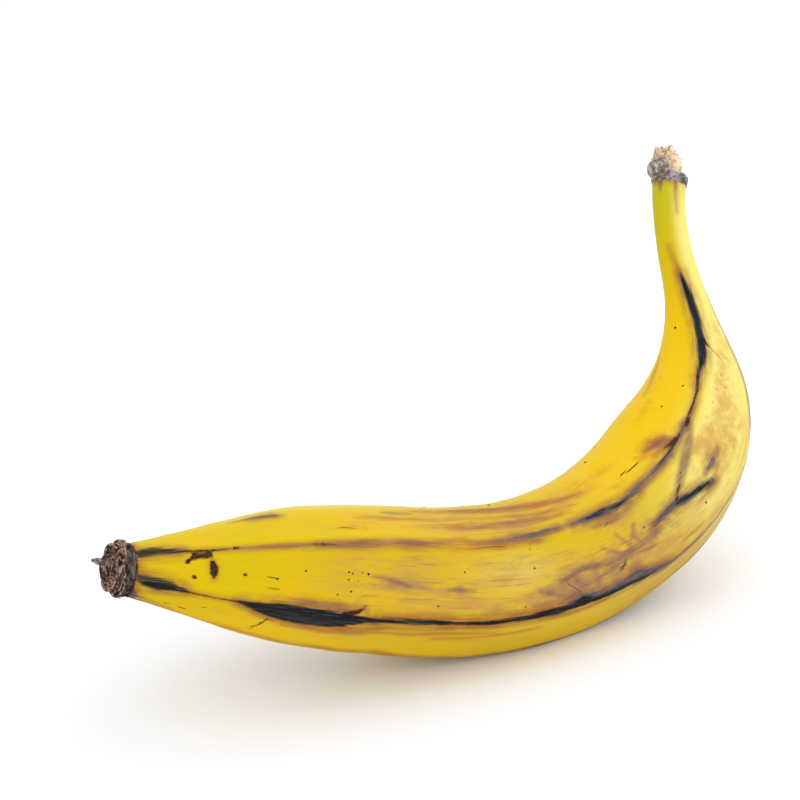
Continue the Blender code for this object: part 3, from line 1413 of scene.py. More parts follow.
LOWER_RIDGE: Strokes = {
    Stain.OLIVE: (
        ((0, 110, 0.9), (3, 117, 1.6), (7, 121, 1.9), (10, 121, 1.4), (14, 124, 0.5)),
    ),
    Stain.INK: (
        ((3, 121, 0.5), (7, 123, 0.8), (11, 123, 0.5)),
        (
            (29, 128, 0.3), (34, 130, 1.4), (40, 132, 2.9), (47, 134, 3.8), (54, 135, 3.7),
            (61, 133, 2.5), (67, 131, 1.3), (74, 130, 0.9), (84, 129, 0.9), (94, 128, 0.5),
        ),
        ((100, 128, 0.3), (108, 128, 0.9), (118, 127, 1.1), (128, 126, 1.2), (140, 125, 0.9)),
        ((132, 124, 0.3), (136, 122, 1), (140, 124, 0.4)),
        ((140, 126, 0.8), (148, 126, 1.1), (156, 127, 1), (162, 128, 0.3)),
    ),
    Stain.UMBER: (
        ((12, 124, 0.6), (16, 126, 0.3), (24, 128, 0.2), (33, 128, 0.3)),
        ((60, 127, 1), (64, 124, 0.6), (66, 120, 0.3)),
        ((86, 129, 0.7), (98, 128, 0.6), (108, 128, 0.7)),
        ((35, 170, 0.1), (38, 157, 0.35), (39, 146, 0.3)),
    ),
    Stain.RUST: (
        ((14, 126, 0.6), (24, 128, 0.6), (33, 129, 0.9)),
        ((162, 132, 1.5), (180, 133, 1.6), (200, 130, 1.5), (224, 123, 1.5)),
        ((34, 138, 0.8), (46, 145, 2.2), (56, 147, 2.6), (66, 144, 2.3), (76, 138, 1.7), (96, 134, 1.1)),
        ((64, 152, 0.4), (76, 146, 1), (92, 142, 0.9), (110, 141, 0.4)),
        ((38, 124, 0.8), (47, 120, 1.5), (56, 121, 1.6), (66, 122, 0.9)),
        ((160, 168, 0.6), (182, 173, 1.6), (200, 169, 1.8), (216, 164, 1.4), (232, 160, 0.6)),
        ((70, 133, 0.4), (84, 132, 1.2), (98, 131, 1.5), (114, 131, 1.4), (130, 131, 0.9), (144, 131, 0.5)),
        ((70, 126, 0.3), (86, 126, 0.9), (104, 125, 1.1), (122, 123, 1.3), (134, 121, 0.9)),
        ((92, 150, 0.3), (100, 149, 0.9), (112, 146, 0.8), (124, 144, 0.2)),
    ),
    Stain.SLATE: (
        ((131, 122, 0.3), (136, 120, 0.9), (141, 121, 0.4)),
        ((140, 125, 0.9), (148, 124, 1.3), (155, 122, 2), (160, 126, 1.2), (167, 129, 0.6)),
        ((162, 129, 0.7), (172, 131, 0.5), (188, 130, 0.45), (204, 128, 0.3)),
    ),
    Stain.PLUM: (
        ((128, 120, 0.6), (136, 117, 1.4), (144, 119, 0.8)),
        ((126, 126, 1.3), (140, 122, 1.6), (156, 121, 1.7), (166, 128, 1.1)),
        ((162, 129, 1), (176, 131, 0.9), (192, 129, 0.8), (208, 127, 0.9), (222, 122, 0.8)),
        ((216, 122, 1), (230, 120, 1.1), (242, 120, 0.6), (256, 121, 0.3)),
        ((40, 124, 0.5), (48, 121, 0.9), (56, 122, 1), (61, 124, 0.6)),
        ((184, 172, 0.3), (198, 168, 0.7), (212, 163, 0.7), (226, 158, 0.3)),
    ),
}

SIDE_MARKS: Strokes = {
    Stain.SLATE: (
        ((192, 101, 1.2), (189, 99, 1.6), (184, 96, 1.5), (178, 92, 1.3)),
        ((178, 91, 0.9), (172, 92, 0.9), (167, 95, 0.4)),
        ((198, 92, 0.8), (196, 93, 1), (194, 93, 0.5)),
        ((36, 24, 0.2), (40, 25, 0.5), (43, 26, 0.4)),
    ),
    Stain.INK: (
        ((191, 100, 0.7), (187, 98, 0.9), (181, 94, 0.6), (177, 92, 0.3)),
    ),
    Stain.PLUM: (
        ((203, 61, 0.4), (197, 66, 1.5), (190, 72, 2), (184, 79, 1.6), (178, 89, 1.3)),
        ((179, 91, 1.6), (173, 92, 1.9), (167, 95, 1.3), (163, 98, 0.5)),
        ((202, 92, 0.8), (197, 92, 1.5), (192, 94, 1)),
        ((130, 104, 0.8), (138, 99, 0.9), (148, 104, 0.7), (157, 102, 0.9), (167, 100, 1)),
        ((140, 112, 0.4), (148, 108, 0.8), (156, 106, 0.5), (164, 108, 0.3)),
        ((146, 90, 0.3), (150, 96, 0.6), (154, 104, 0.5), (150, 110, 0.4)),
        ((160, 84, 0.3), (158, 92, 0.6), (160, 100, 0.4)),
        ((122, 108, 0.2), (126, 112, 0.6), (130, 116, 0.5)),
        ((152, 83, 0.4), (156, 98, 0.4)),
        ((134, 104, 0.4), (136, 112, 0.7), (142, 112, 0.4)),
        ((149, 113, 0.4), (152, 109, 0.9), (154, 105, 0.3)),
        ((145, 73, 0.4), (152, 74, 0.5), (160, 72, 0.3)),
        ((92, 103, 0.3), (96, 103, 0.6), (101, 103, 0.3)),
        ((68, 96, 0.3), (73, 98, 0.7), (80, 102, 0.4)),
        ((104, 49, 0.3), (118, 47, 1), (132, 50, 0.4)),
        ((100, 23, 0.2), (114, 24, 0.6), (130, 29, 0.2)),
        ((29, 22, 0.2), (34, 23, 0.6), (39, 24, 0.9), (43, 26, 0.8)),
        ((76, 29, 0.3), (80, 30, 0.7), (85, 30, 0.4)),
        ((185, 46, 0.5), (189, 51, 1.5), (192, 56, 1.8), (195, 59, 0.8)),
    ),
    Stain.UMBER: (
        ((185, 77, 0.15), (180, 86, 0.35), (178, 90, 0.4)),
        ((150, 112, 0.3), (152, 109, 0.45), (153, 106, 0.15)),
        ((188, 57, 0.3), (191, 58, 0.6), (194, 58, 0.3)),
        ((14.2, 81, 0.7), (14.8, 77, 0.4), (16, 73.5, 1), (18, 74, 0.8), (20, 73, 1), (20.5, 75, 0.6)),
        ((21, 84, 0.8), (21.5, 90, 1.1), (21.5, 97, 1.1), (21.5, 101, 0.6)),
        ((16, 103, 0.6), (16.3, 104, 0.5)),
        ((30, 98, 0.5), (30.3, 98, 0.4)),
    ),
    Stain.RUST: (
        ((84, 51, 0.3), (98, 50, 1.5), (112, 48, 2.1), (128, 49, 1.7), (142, 53, 0.5)),
        ((86, 25, 0.4), (104, 24, 1.6), (120, 26, 1.7), (136, 33, 1.6), (152, 39, 0.5)),
        ((96, 38, 0.2), (108, 37, 0.9), (122, 39, 1.1), (134, 43, 0.9), (146, 47, 0.3)),
        ((66, 40, 0.2), (78, 39, 0.8), (92, 39, 0.2)),
        ((238, -14, 0.2), (230, -4, 0.6), (222, 4, 0.5), (214, 8, 0.2)),
        ((183, 44, 1.2), (188, 47, 2.2), (191, 53, 2.4), (192, 58, 1.5)),
        ((21, 84, 1.1), (21.5, 92, 1.6), (21.5, 102, 1)),
    ),
}

END_MARKS: Strokes = {
    Stain.SLATE: (
        band(296.6, 1, 1.3, 0),
        ((0.5, 150, 0.9), (1.5, 160, 1.1), (1, 175, 0.7)),
    ),
    Stain.PLUM: (
        ((296, 22, 1.5), (293.5, 24, 1.1), (291.5, 24, 0.3)),
        ((297, 78, 0.7), (292, 80, 0.3)),
        ((296, -70, 1.1), (288, -72, 0.6), (282, -71, 0.2)),
        ((297, 150, 1.2), (290, 149, 0.4)),
    ),
    Stain.RUST: (
        ((296, 78, 1), (290, 80, 0.8), (284, 82, 0.3)),
        band(0.6, 0, 0.8, 0.9),
    ),
    Stain.UMBER: (
        band(-0.4, 0, 0.7, 0.5),
    ),
}

# Washes by tint: middle in mm along and degrees round, spread in each, strength, crispness
WASHES: dict[Tint, tuple[tuple[float, ...], ...]] = {
    Tint.TAN: (
        (82, 98, 30, 24, 0.95, 3), (112, 104, 26, 24, 0.5), (98, 46, 38, 15, 0.95),
        (122, 34, 38, 20, 1), (146, 100, 24, 26, 0.95), (176, 126, 24, 26, 0.8),
        (60, 148, 20, 12, 0.45), (180, 168, 26, 20, 0.75), (110, 158, 50, 14, 0.3),
        (212, 128, 28, 20, 0.5),
    ),
    Tint.DUSK: (
        (133, 112, 15, 14, 0.9), (152, 100, 20, 14, 0.5), (148, 118, 14, 8, 0.5),
        (168, 98, 11, 12, 0.6), (122, 124, 14, 5, 0.6), (188, 50, 6, 12, 1), (154, 74, 12, 7, 0.6),
        (76, 100, 12, 8, 0.75), (97, 103, 7, 6, 0.6), (60, 121, 10, 7, 0.8), (118, 48, 20, 10, 0.8),
        (112, 26, 22, 8, 0.6), (205, 150, 24, 20, 0.45), (228, 138, 18, 14, 0.35),
        (232, 152, 18, 12, 0.3), (112, 84, 16, 8, 0.35), (108, 118, 18, 7, 0.4),
    ),
    Tint.SCORCH: (
        (188, 50, 7, 13, 1), (182, 45, 6, 8, 0.7), (153, 34, 7, 13, 0.55), (166, 29, 6, 7, 0.6),
        (163, 52, 7, 5, 0.5), (205, 20, 12, 12, 0.5), (222, 8, 8, 14, 0.4), (220, 84, 18, 14, 0.8),
        (205, 98, 16, 18, 0.8), (198, 78, 8, 9, 0.8), (63, 54, 7, 5, 0.6), (240, 104, 12, 16, 0.6),
        (30, 150, 12, 10, 0.3),
    ),
    Tint.GOLD: (
        (222, 12, 50, 54, 1, 4), (165, 30, 30, 32, 0.9, 3), (46, 160, 30, 30, 0.6),
        (92, 160, 80, 28, 0.55, 4),
    ),
    # Pale washes: chiefly a painted highlight on the lit right side of the bend and the neck
    Tint.PALE_AND_SHEEN: (
        (246, 124, 56, 60, 1, 5), (198, 104, 28, 34, 0.9), (222, 108, 24, 30, 0.8),
        (115, 92, 14, 14, 0.55), (60, 14, 40, 12, 0.35),
    ),
    Tint.GREEN: ((296, 0, 24, 4000, 0.9),),
}

# The side away from the lower face, where the marks are free
HIDDEN_WASHES: dict[Tint, tuple[tuple[float, ...], ...]] = {
    Tint.TAN: (
        (70, -95, 30, 24, 0.8, 3), (150, -100, 34, 22, 0.7), (112, -150, 30, 20, 0.6),
        (120, -30, 34, 18, 0.5), (210, -110, 26, 30, 0.6),
    ),
    Tint.DUSK: (
        (84, -90, 14, 16, 0.9), (142, -88, 16, 14, 0.9), (190, -120, 14, 16, 0.8),
        (128, -152, 16, 12, 0.8), (60, -150, 12, 12, 0.6),
    ),
    Tint.SCORCH: ((176, -40, 12, 14, 0.8), (210, -90, 14, 14, 0.7), (36, -60, 8, 10, 0.6)),
    Tint.GOLD: ((110, -90, 30, 40, 0.5),),
    # Pale wash of the same painted highlight, on the far side of the bend
    Tint.PALE_AND_SHEEN: ((238, -120, 40, 50, 0.7, 4),),
}

# Scabs: mm along, degrees round, size in mm
SCABS: Path = (
    (14.3, 80, 0.6), (16.2, 73, 0.9), (19.4, 73, 0.85), (21.3, 86, 0.75), (21.6, 94, 0.9),
    (16.2, 103, 0.5), (30, 98, 0.4), (39, 101, 0.35), (47, 93, 0.25), (60, 93, 0.35), (61, 94, 0.25),
    (63, 100, 0.3), (64, 93, 0.3), (66, 94, 0.4), (60, 99, 0.3), (61, 109, 0.3), (64, 109, 0.25),
    (57, 112, 0.25), (121, 89, 0.4), (97, 89, 0.3), (89, 116, 0.3), (117, 118, 0.3), (120, 75, 0.22),
    (123, 76, 0.22), (163, 91, 0.35), (186, 109, 0.35), (27, 69, 0.4), (208, 33, 0.35),
    (220.7, 44, 0.4), (44, 152, 0.25), (151, 112, 0.3),
)

# Hairline cracks and scratches: mm along, degrees round, width in mm
CRACKS: tuple[Path, ...] = (
    ((242, 69, 0.4), (239, 73, 0.3), (236, 82, 0.22), (234, 90, 0.2), (232, 95, 0.35)),
    ((178, 48, 0.5), (174, 48, 0.6), (170, 48, 0.45)),
    ((172, 46, 0.3), (169, 46, 0.6), (168, 47, 0.4)),
    ((36, 172, 0.2), (37, 163, 0.3), (38, 157, 0.35), (39, 147, 0.25)),
    ((136, 120, 0.3), (135, 115, 0.25), (132, 108, 0.2), (131, 102, 0.2)),
    ((137, 121, 0.3), (137, 116, 0.15)),
    ((139, 120, 0.35), (140, 116, 0.2)),
    ((134, 122, 0.3), (132, 119, 0.2)),
    ((141, 122, 0.3), (144, 120, 0.2)),
    ((36, 99, 0.3), (38, 100, 0.35), (40, 101, 0.2)),
    ((36, 110, 0.2), (40, 111, 0.3)),
    ((2, 163, 0.3), (5, 162, 0.25)),
    ((10, 161, 0.35), (12, 161, 0.2)),
    ((14, 162, 0.3), (17, 164, 0.4)),
    ((20, 151, 0.2), (22, 150, 0.3)),
    ((149, 76, 0.25), (151, 73, 0.2)),
    ((100, 72, 0.15), (106, 71, 0.25), (112, 71, 0.15)),
    ((64, 56, 0.2), (60, 54, 0.3), (57, 55, 0.15)),
    ((196, -92, 0.3), (188, -86, 0.35), (182, -88, 0.2)),
    ((96, -96, 0.2), (104, -90, 0.35), (110, -92, 0.2)),
)

@dataclass
class Peel:
    """The whole peel: its shape, the fields it carries and its finish.

    Hidden ridges are degrees round, and mm along where their dark marks start.
    """

    standing: Standing
    finish: PeelFinish = PeelFinish()
    rings: int = 486
    sides: int = 204
    crowding: float = 0.38
    crowded: float = math.radians(100.0)
    fibre_girth: float = 20.0
    hidden_ridges: Stations = ((180.0, 110.0), (-126.0, 20.0), (-66.0, 20.0))
    hidden_ends: tuple[float, float] = (14.0, 262.0)
    hidden_bruises: Strokes = field(default_factory=lambda: {
        Stain.INK: (
            ((86, -122, 0.3), (96, -119, 2.2), (106, -120, 2.9), (120, -125, 0.4)),
            ((218, -66, 0.3), (232, -66, 1.3), (250, -68, 1.1), (262, -70, 0.3)),
        ),
    })
    seed: int = 11

    def build(self) -> bpy.types.Object:
        """Make the peel.

        Returns:
            The peel as a plain mesh with its material.
        """
        form = self.standing.form
        self.standing.settle()
        distance = np.linspace(0.0, form.length, self.rings)[:, None]
        angle = full_turn(self.sides)[None, :]
        angle = angle - self.crowding * np.sin(angle - self.crowded)
        reach = form.radius(distance, angle)
        distance, angle = np.broadcast_arrays(distance, angle)
        points = self.standing.put(form.points(distance, angle, reach)).reshape(-1, 3)
        made = mesh_object("peel", points, ring_faces(self.rings, self.sides))
        chart = Chart((distance / MM).ravel(), wrapped(np.degrees(angle)).ravel(), (reach / MM).ravel())
        spoke = np.stack((np.cos(angle.ravel()), np.sin(angle.ravel())), axis=-1)
        carry(made, "straight", np.column_stack((spoke * chart.girth[:, None], chart.along)))
        carry(made, "fibre", np.column_stack((spoke * self.fibre_girth, chart.along)))
        self.draw(made, chart)
        return relief_tree("peel_relief", PEEL_RELIEF, Stain.INK.value).apply(made, self.finish.make())

    def strokes(self) -> list[Stroke]:
        """Every stroke: the chosen ones, then those of the hidden ridges.

        Returns:
            The strokes, in no order that matters.
        """
        chosen = []
        for marks in (UPPER_RIDGE, LOWER_RIDGE, SIDE_MARKS, END_MARKS, self.hidden_bruises):
            chosen += [Stroke(stain, path) for stain, paths in marks.items() for path in paths]
        draw = np.random.default_rng(self.seed)
        first, last = self.hidden_ends
        for ridge, clear in self.hidden_ridges:
            lines = [
                (Stain.RUST, first, last, 1.5), (Stain.PLUM, clear, last, 1.1),
                (Stain.UMBER, clear, clear + 60.0, 0.4),
            ]
            for stain, start, end, width in lines:
                chosen.append(self.ridge_line(draw, stain, ridge, start, end, width))
            for stain, width in ((Stain.SLATE, 1.1), (Stain.SLATE, 0.9), (Stain.INK, 0.9)):
                start = draw.uniform(clear + 10.0, 210.0)
                end = start + draw.uniform(24.0, 50.0)
                chosen.append(self.ridge_line(draw, stain, ridge, start, end, width))
            tip = ((-1, ridge, 0.9), (5, ridge + 4.0, 1.5), (12, ridge + 3.0, 0.3))
            chosen.append(Stroke(Stain.OLIVE, tip))
        return chosen

    @staticmethod
    def ridge_line(
        draw: np.random.Generator, stain: Stain, ridge: float, start: float, end: float, width: float
    ) -> Stroke:
        """A line that wanders along a ridge and swells and thins.

        Args:
            draw: The generator that its wandering comes from.
            stain: The kind of stain.
            ridge: Degrees round the fruit.
            start: Where it begins, in mm along.
            end: Where it stops.
            width: Its widest half width, in mm.

        Returns:
            The stroke.
        """
        steps = max(3, int((end - start) / 9.0))
        path = []
        for step in range(steps + 1):
            along = start + (end - start) * step / steps
            thin = min(1.0, 0.25 + 3.0 * min(step, steps - step) / steps)
            path.append((along, ridge + draw.uniform(-2.0, 2.0), width * thin * draw.uniform(0.5, 1.0)))
        return Stroke(stain, tuple(path))

    def draw(self, made: bpy.types.Object, chart: Chart) -> None:
        """Carry every stroke and wash on the peel's points.

        Args:
            made: The peel.
            chart: Where its points are.
        """
        fields = {stain: np.full(len(chart.along), FIELD_LIMIT) for stain in Stain}
        for stroke in self.strokes():
            fields[stroke.stain] = np.minimum(fields[stroke.stain], stroke.edge(chart))
        for stain, values in fields.items():
            carry(made, stain.value, values)
        dark = (Stain.INK, Stain.SLATE, Stain.OLIVE)
        carry(made, "halo", np.minimum.reduce([fields[stain] for stain in dark]))
        for tint in Tint:
            washes = [Wash(tint, *row) for table in (WASHES, HIDDEN_WASHES) for row in table.get(tint, ())]
            total = sum(wash.amount(chart) for wash in washes)
            carry(made, tint.value, np.clip(total, 0.0, 1.0))


@dataclass
class Marks:
    """Scabs and hairline cracks that stand on the peel.

    The random scabs lie within ranges of mm along, degrees round and mm of size.
    """

    standing: Standing
    peel: bpy.types.Object
    look: DryFinish = DryFinish(
        "dark_scab", (92, 64, 40), (50, 33, 22), (24, 17, 14), 2600.0, relief=0.3
    )
    step: float = 0.6
    sway: float = 0.12
    sunk: float = 0.3
    crack_fatness: float = 0.55
    seed: int = 5
    random_scabs: int = 46
    scab_ranges: Stations = ((8.0, 262.0), (-170.0, 20.0), (0.2, 0.5))
    finish: bpy.types.Material = field(init=False)
    skin: BVHTree = field(init=False)

    def __post_init__(self) -> None:
        """Make the finish, and the tree that finds the peel's surface."""
        self.finish = self.look.make()
        corners = [vertex.co.copy() for vertex in self.peel.data.vertices]
        faces = [tuple(face.vertices) for face in self.peel.data.polygons]
        self.skin = BVHTree.FromPolygons(corners, faces)

    def touch(self, along: float, around: float, lift: float = 0.0) -> tuple[Vector, Vector]:
        """Find the peel's real surface and its normal.

        Args:
            along: Millimetres from the scar.
            around: Degrees round the fruit.
            lift: Metres out along the normal.

        Returns:
            The point and the outward normal.
        """
        spot, normal, _, _ = self.skin.find_nearest(self.standing.surface(along, around))
        return spot + normal * lift, normal

    def scabs(self) -> bpy.types.Object:
        """Make the raised scabs: the chosen ones and a fixed scatter.

        Returns:
            The scabs as one piece.
        """
        draw = np.random.default_rng(self.seed)
        chosen = list(SCABS)
        for _ in range(self.random_scabs):
            chosen.append(tuple(draw.uniform(low, high) for low, high in self.scab_ranges))
        roots = Roots()
        for along, around, _ in chosen:
            roots.add(*self.touch(along, around))
        made = roots.plant("scabs")
        carry(made, "size", [size * MM for _, _, size in chosen])
        return scab_tree("scab_scatter", SCAB_SIZES).apply(made, self.finish)

    def cracks(self) -> bpy.types.Object:
        """Make the hairline cracks as thin cords let into the peel.

        Returns:
            The cracks as one piece.
        """
        cords = Cords()
        for path in CRACKS:
            walked = self.resampled(path)
            spots = [self.touch(along, around, -self.sunk * width * MM)[0] for along, around, width in walked]
            cords.add(spots, [width * MM for _, _, width in walked])
        return cords.grow("cracks", self.crack_fatness, self.finish)

    def resampled(self, path: Path) -> list[Triple]:
        """Walk a path in short, slightly uneven steps, thin at both ends.

        Args:
            path: Millimetres along, degrees round and width at each corner.

        Returns:
            The same of each step.
        """
        draw = np.random.default_rng(int(path[0][0]))
        form = self.standing.form
        walked = []
        for (start, turn, width), (end, last, final) in zip(path, path[1:]):
            girth = float(form.ridge_radius(np.array([start * MM / form.length]))[0])
            span = math.hypot(end - start, math.radians(last - turn) * girth / MM)
            steps = max(2, int(span / self.step))
            for i in range(steps):
                share = i / steps
                along = start + (end - start) * share + draw.uniform(-self.sway, self.sway)
                walked.append((along, turn + (last - turn) * share, width + (final - width) * share))
        walked.append(path[-1])
        count = len(walked)
        thin = [min(1.0, 0.25 + 4.0 * min(i, count - 1 - i) / count) for i in range(count)]
        return [(along, around, width * ends) for (along, around, width), ends in zip(walked, thin)]


@dataclass
class BlossomScar:
    """The dry scar at the tip: a blunt knob wound with cords of dead tissue.

    The profile is share of the tip's radius, and mm out from the tip.  The rim
    and the hollow are a middle and a spread, by share of the tip's radius; the
    hollow is darkened with painted shade.
    """

    standing: Standing
    rings: int = 72
    sides: int = 132
    curl_count: int = 84
    curl_steps: int = 14
    thread_count: int = 26
    thread_rise: float = 3.3
    seed: int = 3
    winding: float = 2.6
    profile: Stations = (
        (0.97, -0.8), (1.00, 0.2), (1.01, 1.3), (0.98, 2.4), (0.92, 3.4), (0.82, 4.1), (0.69, 4.3),
        (0.55, 3.9), (0.41, 3.2), (0.28, 3.0), (0.16, 3.4), (0.07, 3.7), (0.01, 3.8),
    )
    torn_waves: Path = ((0.5, 3, 0.6), (0.4, 7, 2.0), (0.3, 13, 0.0))
    rim: tuple[float, float] = (0.82, 0.13)
    rim_flare: float = 0.06
    rim_rise: float = 0.9
    hollow: tuple[float, float] = (0.35, 0.2)
    hollow_shade: float = 0.8
    look: DryFinish = DryFinish(
        "dry_scar", (100, 88, 80), (58, 46, 42), (26, 20, 19), 1.3, relief=0.4, carried=True
    )
    curl_look: DryFinish = DryFinish(
        "dry_curl", (176, 142, 116), (112, 90, 80), (44, 33, 30), 800.0, relief=0.5
    )
    thread_look: DryFinish = DryFinish(
        "dry_thread", (212, 184, 146), (150, 122, 96), (80, 62, 50), 1800.0, relief=0.2
    )

    def build(self) -> list[bpy.types.Object]:
        """Make the knob, its curls, its threads and the loose flake.

        Returns:
            The four pieces.
        """
        scar = relief_tree("scar_relief", SCAR_RELIEF).apply(self.knob(), self.look.make())
        return [scar, self.curls(), self.threads(), Flake(self.standing).build()]

    def knob(self) -> bpy.types.Object:
        """The turned shape of the scar, pleated outside and uneven round its rim.

        Returns:
            The knob, before its relief.
        """
        form = self.standing.form
        share, height = read_outline(self.profile, self.rings)
        turn = full_turn(self.sides)
        base = form.radius(np.zeros(self.sides), turn)
        torn = waves(turn, self.torn_waves)
        pleat = 0.022 * np.sin(11.0 * turn + 1.2 * np.sin(2.0 * turn)) + 0.014 * np.sin(23.0 * turn)
        rim = hump(share, *self.rim)[:, None] * (height > 0.5)[:, None]
        radius = share[:, None] * base[None, :] * (1.0 + pleat + self.rim_flare * torn * rim)
        rise = height[:, None] + self.rim_rise * torn[None, :] * rim
        grid = np.stack((radius * np.cos(turn), radius * np.sin(turn), -rise * MM), axis=-1).reshape(-1, 3)
        faces = [tuple(reversed(face)) for face in ring_faces(self.rings, self.sides)]
        made = mesh_object("blossom_scar", self.standing.on_axis(0.0, grid), faces)
        run = np.cumsum(np.hypot(np.gradient(share) * form.tip_radius / MM, np.gradient(height)))
        around, aside = self.winding * np.cos(turn), self.winding * np.sin(turn)
        wound = np.broadcast_arrays(around, aside, run[:, None])
        carry(made, "straight", np.stack(wound, axis=-1).reshape(-1, 3))
        # painted shade in the sunken ring of the scar's face
        carry(made, "hollow", np.repeat(self.hollow_shade * hump(share, *self.hollow), self.sides))
        return made

    def curls(self) -> bpy.types.Object:
        """Cords of dry tissue wound round the wall and across the face.

        Returns:
            The cords as one piece.
        """
        draw = np.random.default_rng(self.seed)
        steps = np.linspace(0.0, 1.0, self.curl_steps)
        thin = 0.3 + 0.7 * np.sin(math.pi * np.clip(steps, 0.05, 0.95))
        cords = Cords()
        for count in range(self.curl_count):
            start = draw.uniform(0.14, 0.86)
            drift = draw.uniform(-0.12, 0.12)
            turn = draw.uniform(0.0, FULL_TURN)
            span = math.radians(draw.uniform(35.0, 120.0))
            sway = draw.uniform(0.005, 0.03)
            width = draw.uniform(0.18, 0.42)
            place = np.clip(start + drift * steps + sway * np.sin(8.0 * steps + turn), 0.08, 0.96)
            share, height = read_outline(self.profile, place)
            angle = turn + span * steps
            crest = 0.2 + 0.6 * (count % 3 == 0) * np.sin(math.pi * steps)
            spread = self.standing.form.tip_radius * share + crest * MM * np.clip(share, 0.0, 1.0) ** 2
            rise = (height + crest * (share < 0.9)) * MM
            grid = np.stack((spread * np.cos(angle), spread * np.sin(angle), -rise), axis=-1)
            cords.add(self.standing.on_axis(0.0, grid), width * MM * thin)
        return cords.grow("scar_curls", 1.0, self.curl_look.make())

    def threads(self) -> bpy.types.Object:
        """Dry threads left round the rim and across the hollow.

        Returns:
            The threads as one piece.
        """
        draw = np.random.default_rng(self.seed + 1)
        matrix = self.standing.axes_at(0.0)
        turn = draw.uniform(0.0, FULL_TURN, self.thread_count)
        reach = self.standing.form.tip_radius * draw.uniform(0.3, 0.86, self.thread_count)
        roots = Roots()
        for angle, radius in zip(turn, reach):
            local = Vector((radius * math.cos(angle), radius * math.sin(angle), -self.thread_rise * MM))
            bend = angle + draw.uniform(1.2, 2.2)
            way = Vector((math.cos(bend), math.sin(bend), -0.4))
            roots.add(matrix @ local, matrix.to_3x3() @ way)
        made = roots.plant("scar_threads")
        return strand_tree("scar_strands", SCAR_STRANDS).apply(made, self.thread_look.make())


@dataclass
class Flake:
    """A curled flake of dead skin that stands off the scar's rim, sizes in mm."""

    standing: Standing
    rows: int = 14
    columns: int = 7
    root: Triple = (2.4, -4.6, -3.6)
    length: float = 4.6
    drift: float = 0.6
    half_width: float = 0.9
    tip_width: float = 0.15
    bow: float = 0.8
    dish: float = 0.4
    half_thickness: float = 0.09
    look: DryFinish = DryFinish(
        "dry_flake", (170, 162, 152), (132, 124, 116), (92, 84, 78), 900.0, relief=0.3
    )

    def build(self) -> bpy.types.Object:
        """Make the flake.

        Returns:
            The flake as a closed mesh with its material.
        """
        points = []
        for side in (1.0, -1.0):
            for share in np.linspace(0.0, 1.0, self.rows):
                for place in np.linspace(-1.0, 1.0, self.columns):
                    points.append(self.point(share, place, side))
        made = mesh_object("scar_flake", self.standing.on_axis(0.0, points), self.faces())
        fix_facing(made)
        made.data.materials.append(self.look.make())
        return made

    def point(self, share: float, place: float, side: float) -> Triple:
        """One point of the flake.

        Args:
            share: How far out, from 0 to 1.
            place: How far across, from -1 to 1.
            side: 1 for its upper skin and -1 for its lower.

        Returns:
            Metres in the scar's own frame.
        """
        width = self.half_width * math.sin(math.pi * (0.18 + 0.8 * share)) + self.tip_width
        x = self.root[0] + self.drift * share + place * width
        y = self.root[1] - self.bow * math.sin(2.4 * share) - self.dish * place * place
        y += self.half_thickness * side
        return (x * MM, y * MM, (self.root[2] - self.length * share) * MM)

    def faces(self) -> list[tuple[int, ...]]:
        """Corner numbers of both skins and the rim between them.

        Returns:
            The faces.
        """
        rows, columns = self.rows, self.columns
        count = rows * columns
        faces = []
        for row in range(rows - 1):
            for column in range(columns - 1):
                a = row * columns + column
                b = a + count
                faces.append((a, a + 1, a + columns + 1, a + columns))
                faces.append((b, b + columns, b + columns + 1, b + 1))
        rim = [row * columns for row in range(rows)]
        rim += [count - columns + column for column in range(1, columns)]
        rim += [row * columns + columns - 1 for row in range(rows - 2, -1, -1)]
        rim += list(range(columns - 2, 0, -1))
        for first, second in zip(rim, rim[1:] + rim[:1]):
            faces.append((first, first + count, second + count, second))
        return faces


def fix_facing(made: bpy.types.Object) -> None:
    """Turn a closed mesh's faces outwards and shade it smooth.

    Args:
        made: The mesh object.
    """
    work = bmesh.new()
    work.from_mesh(made.data)
    bmesh.ops.recalc_face_normals(work, faces=work.faces[:])
    for face in work.faces:
        face.smooth = True
    work.to_mesh(made.data)
    work.free()


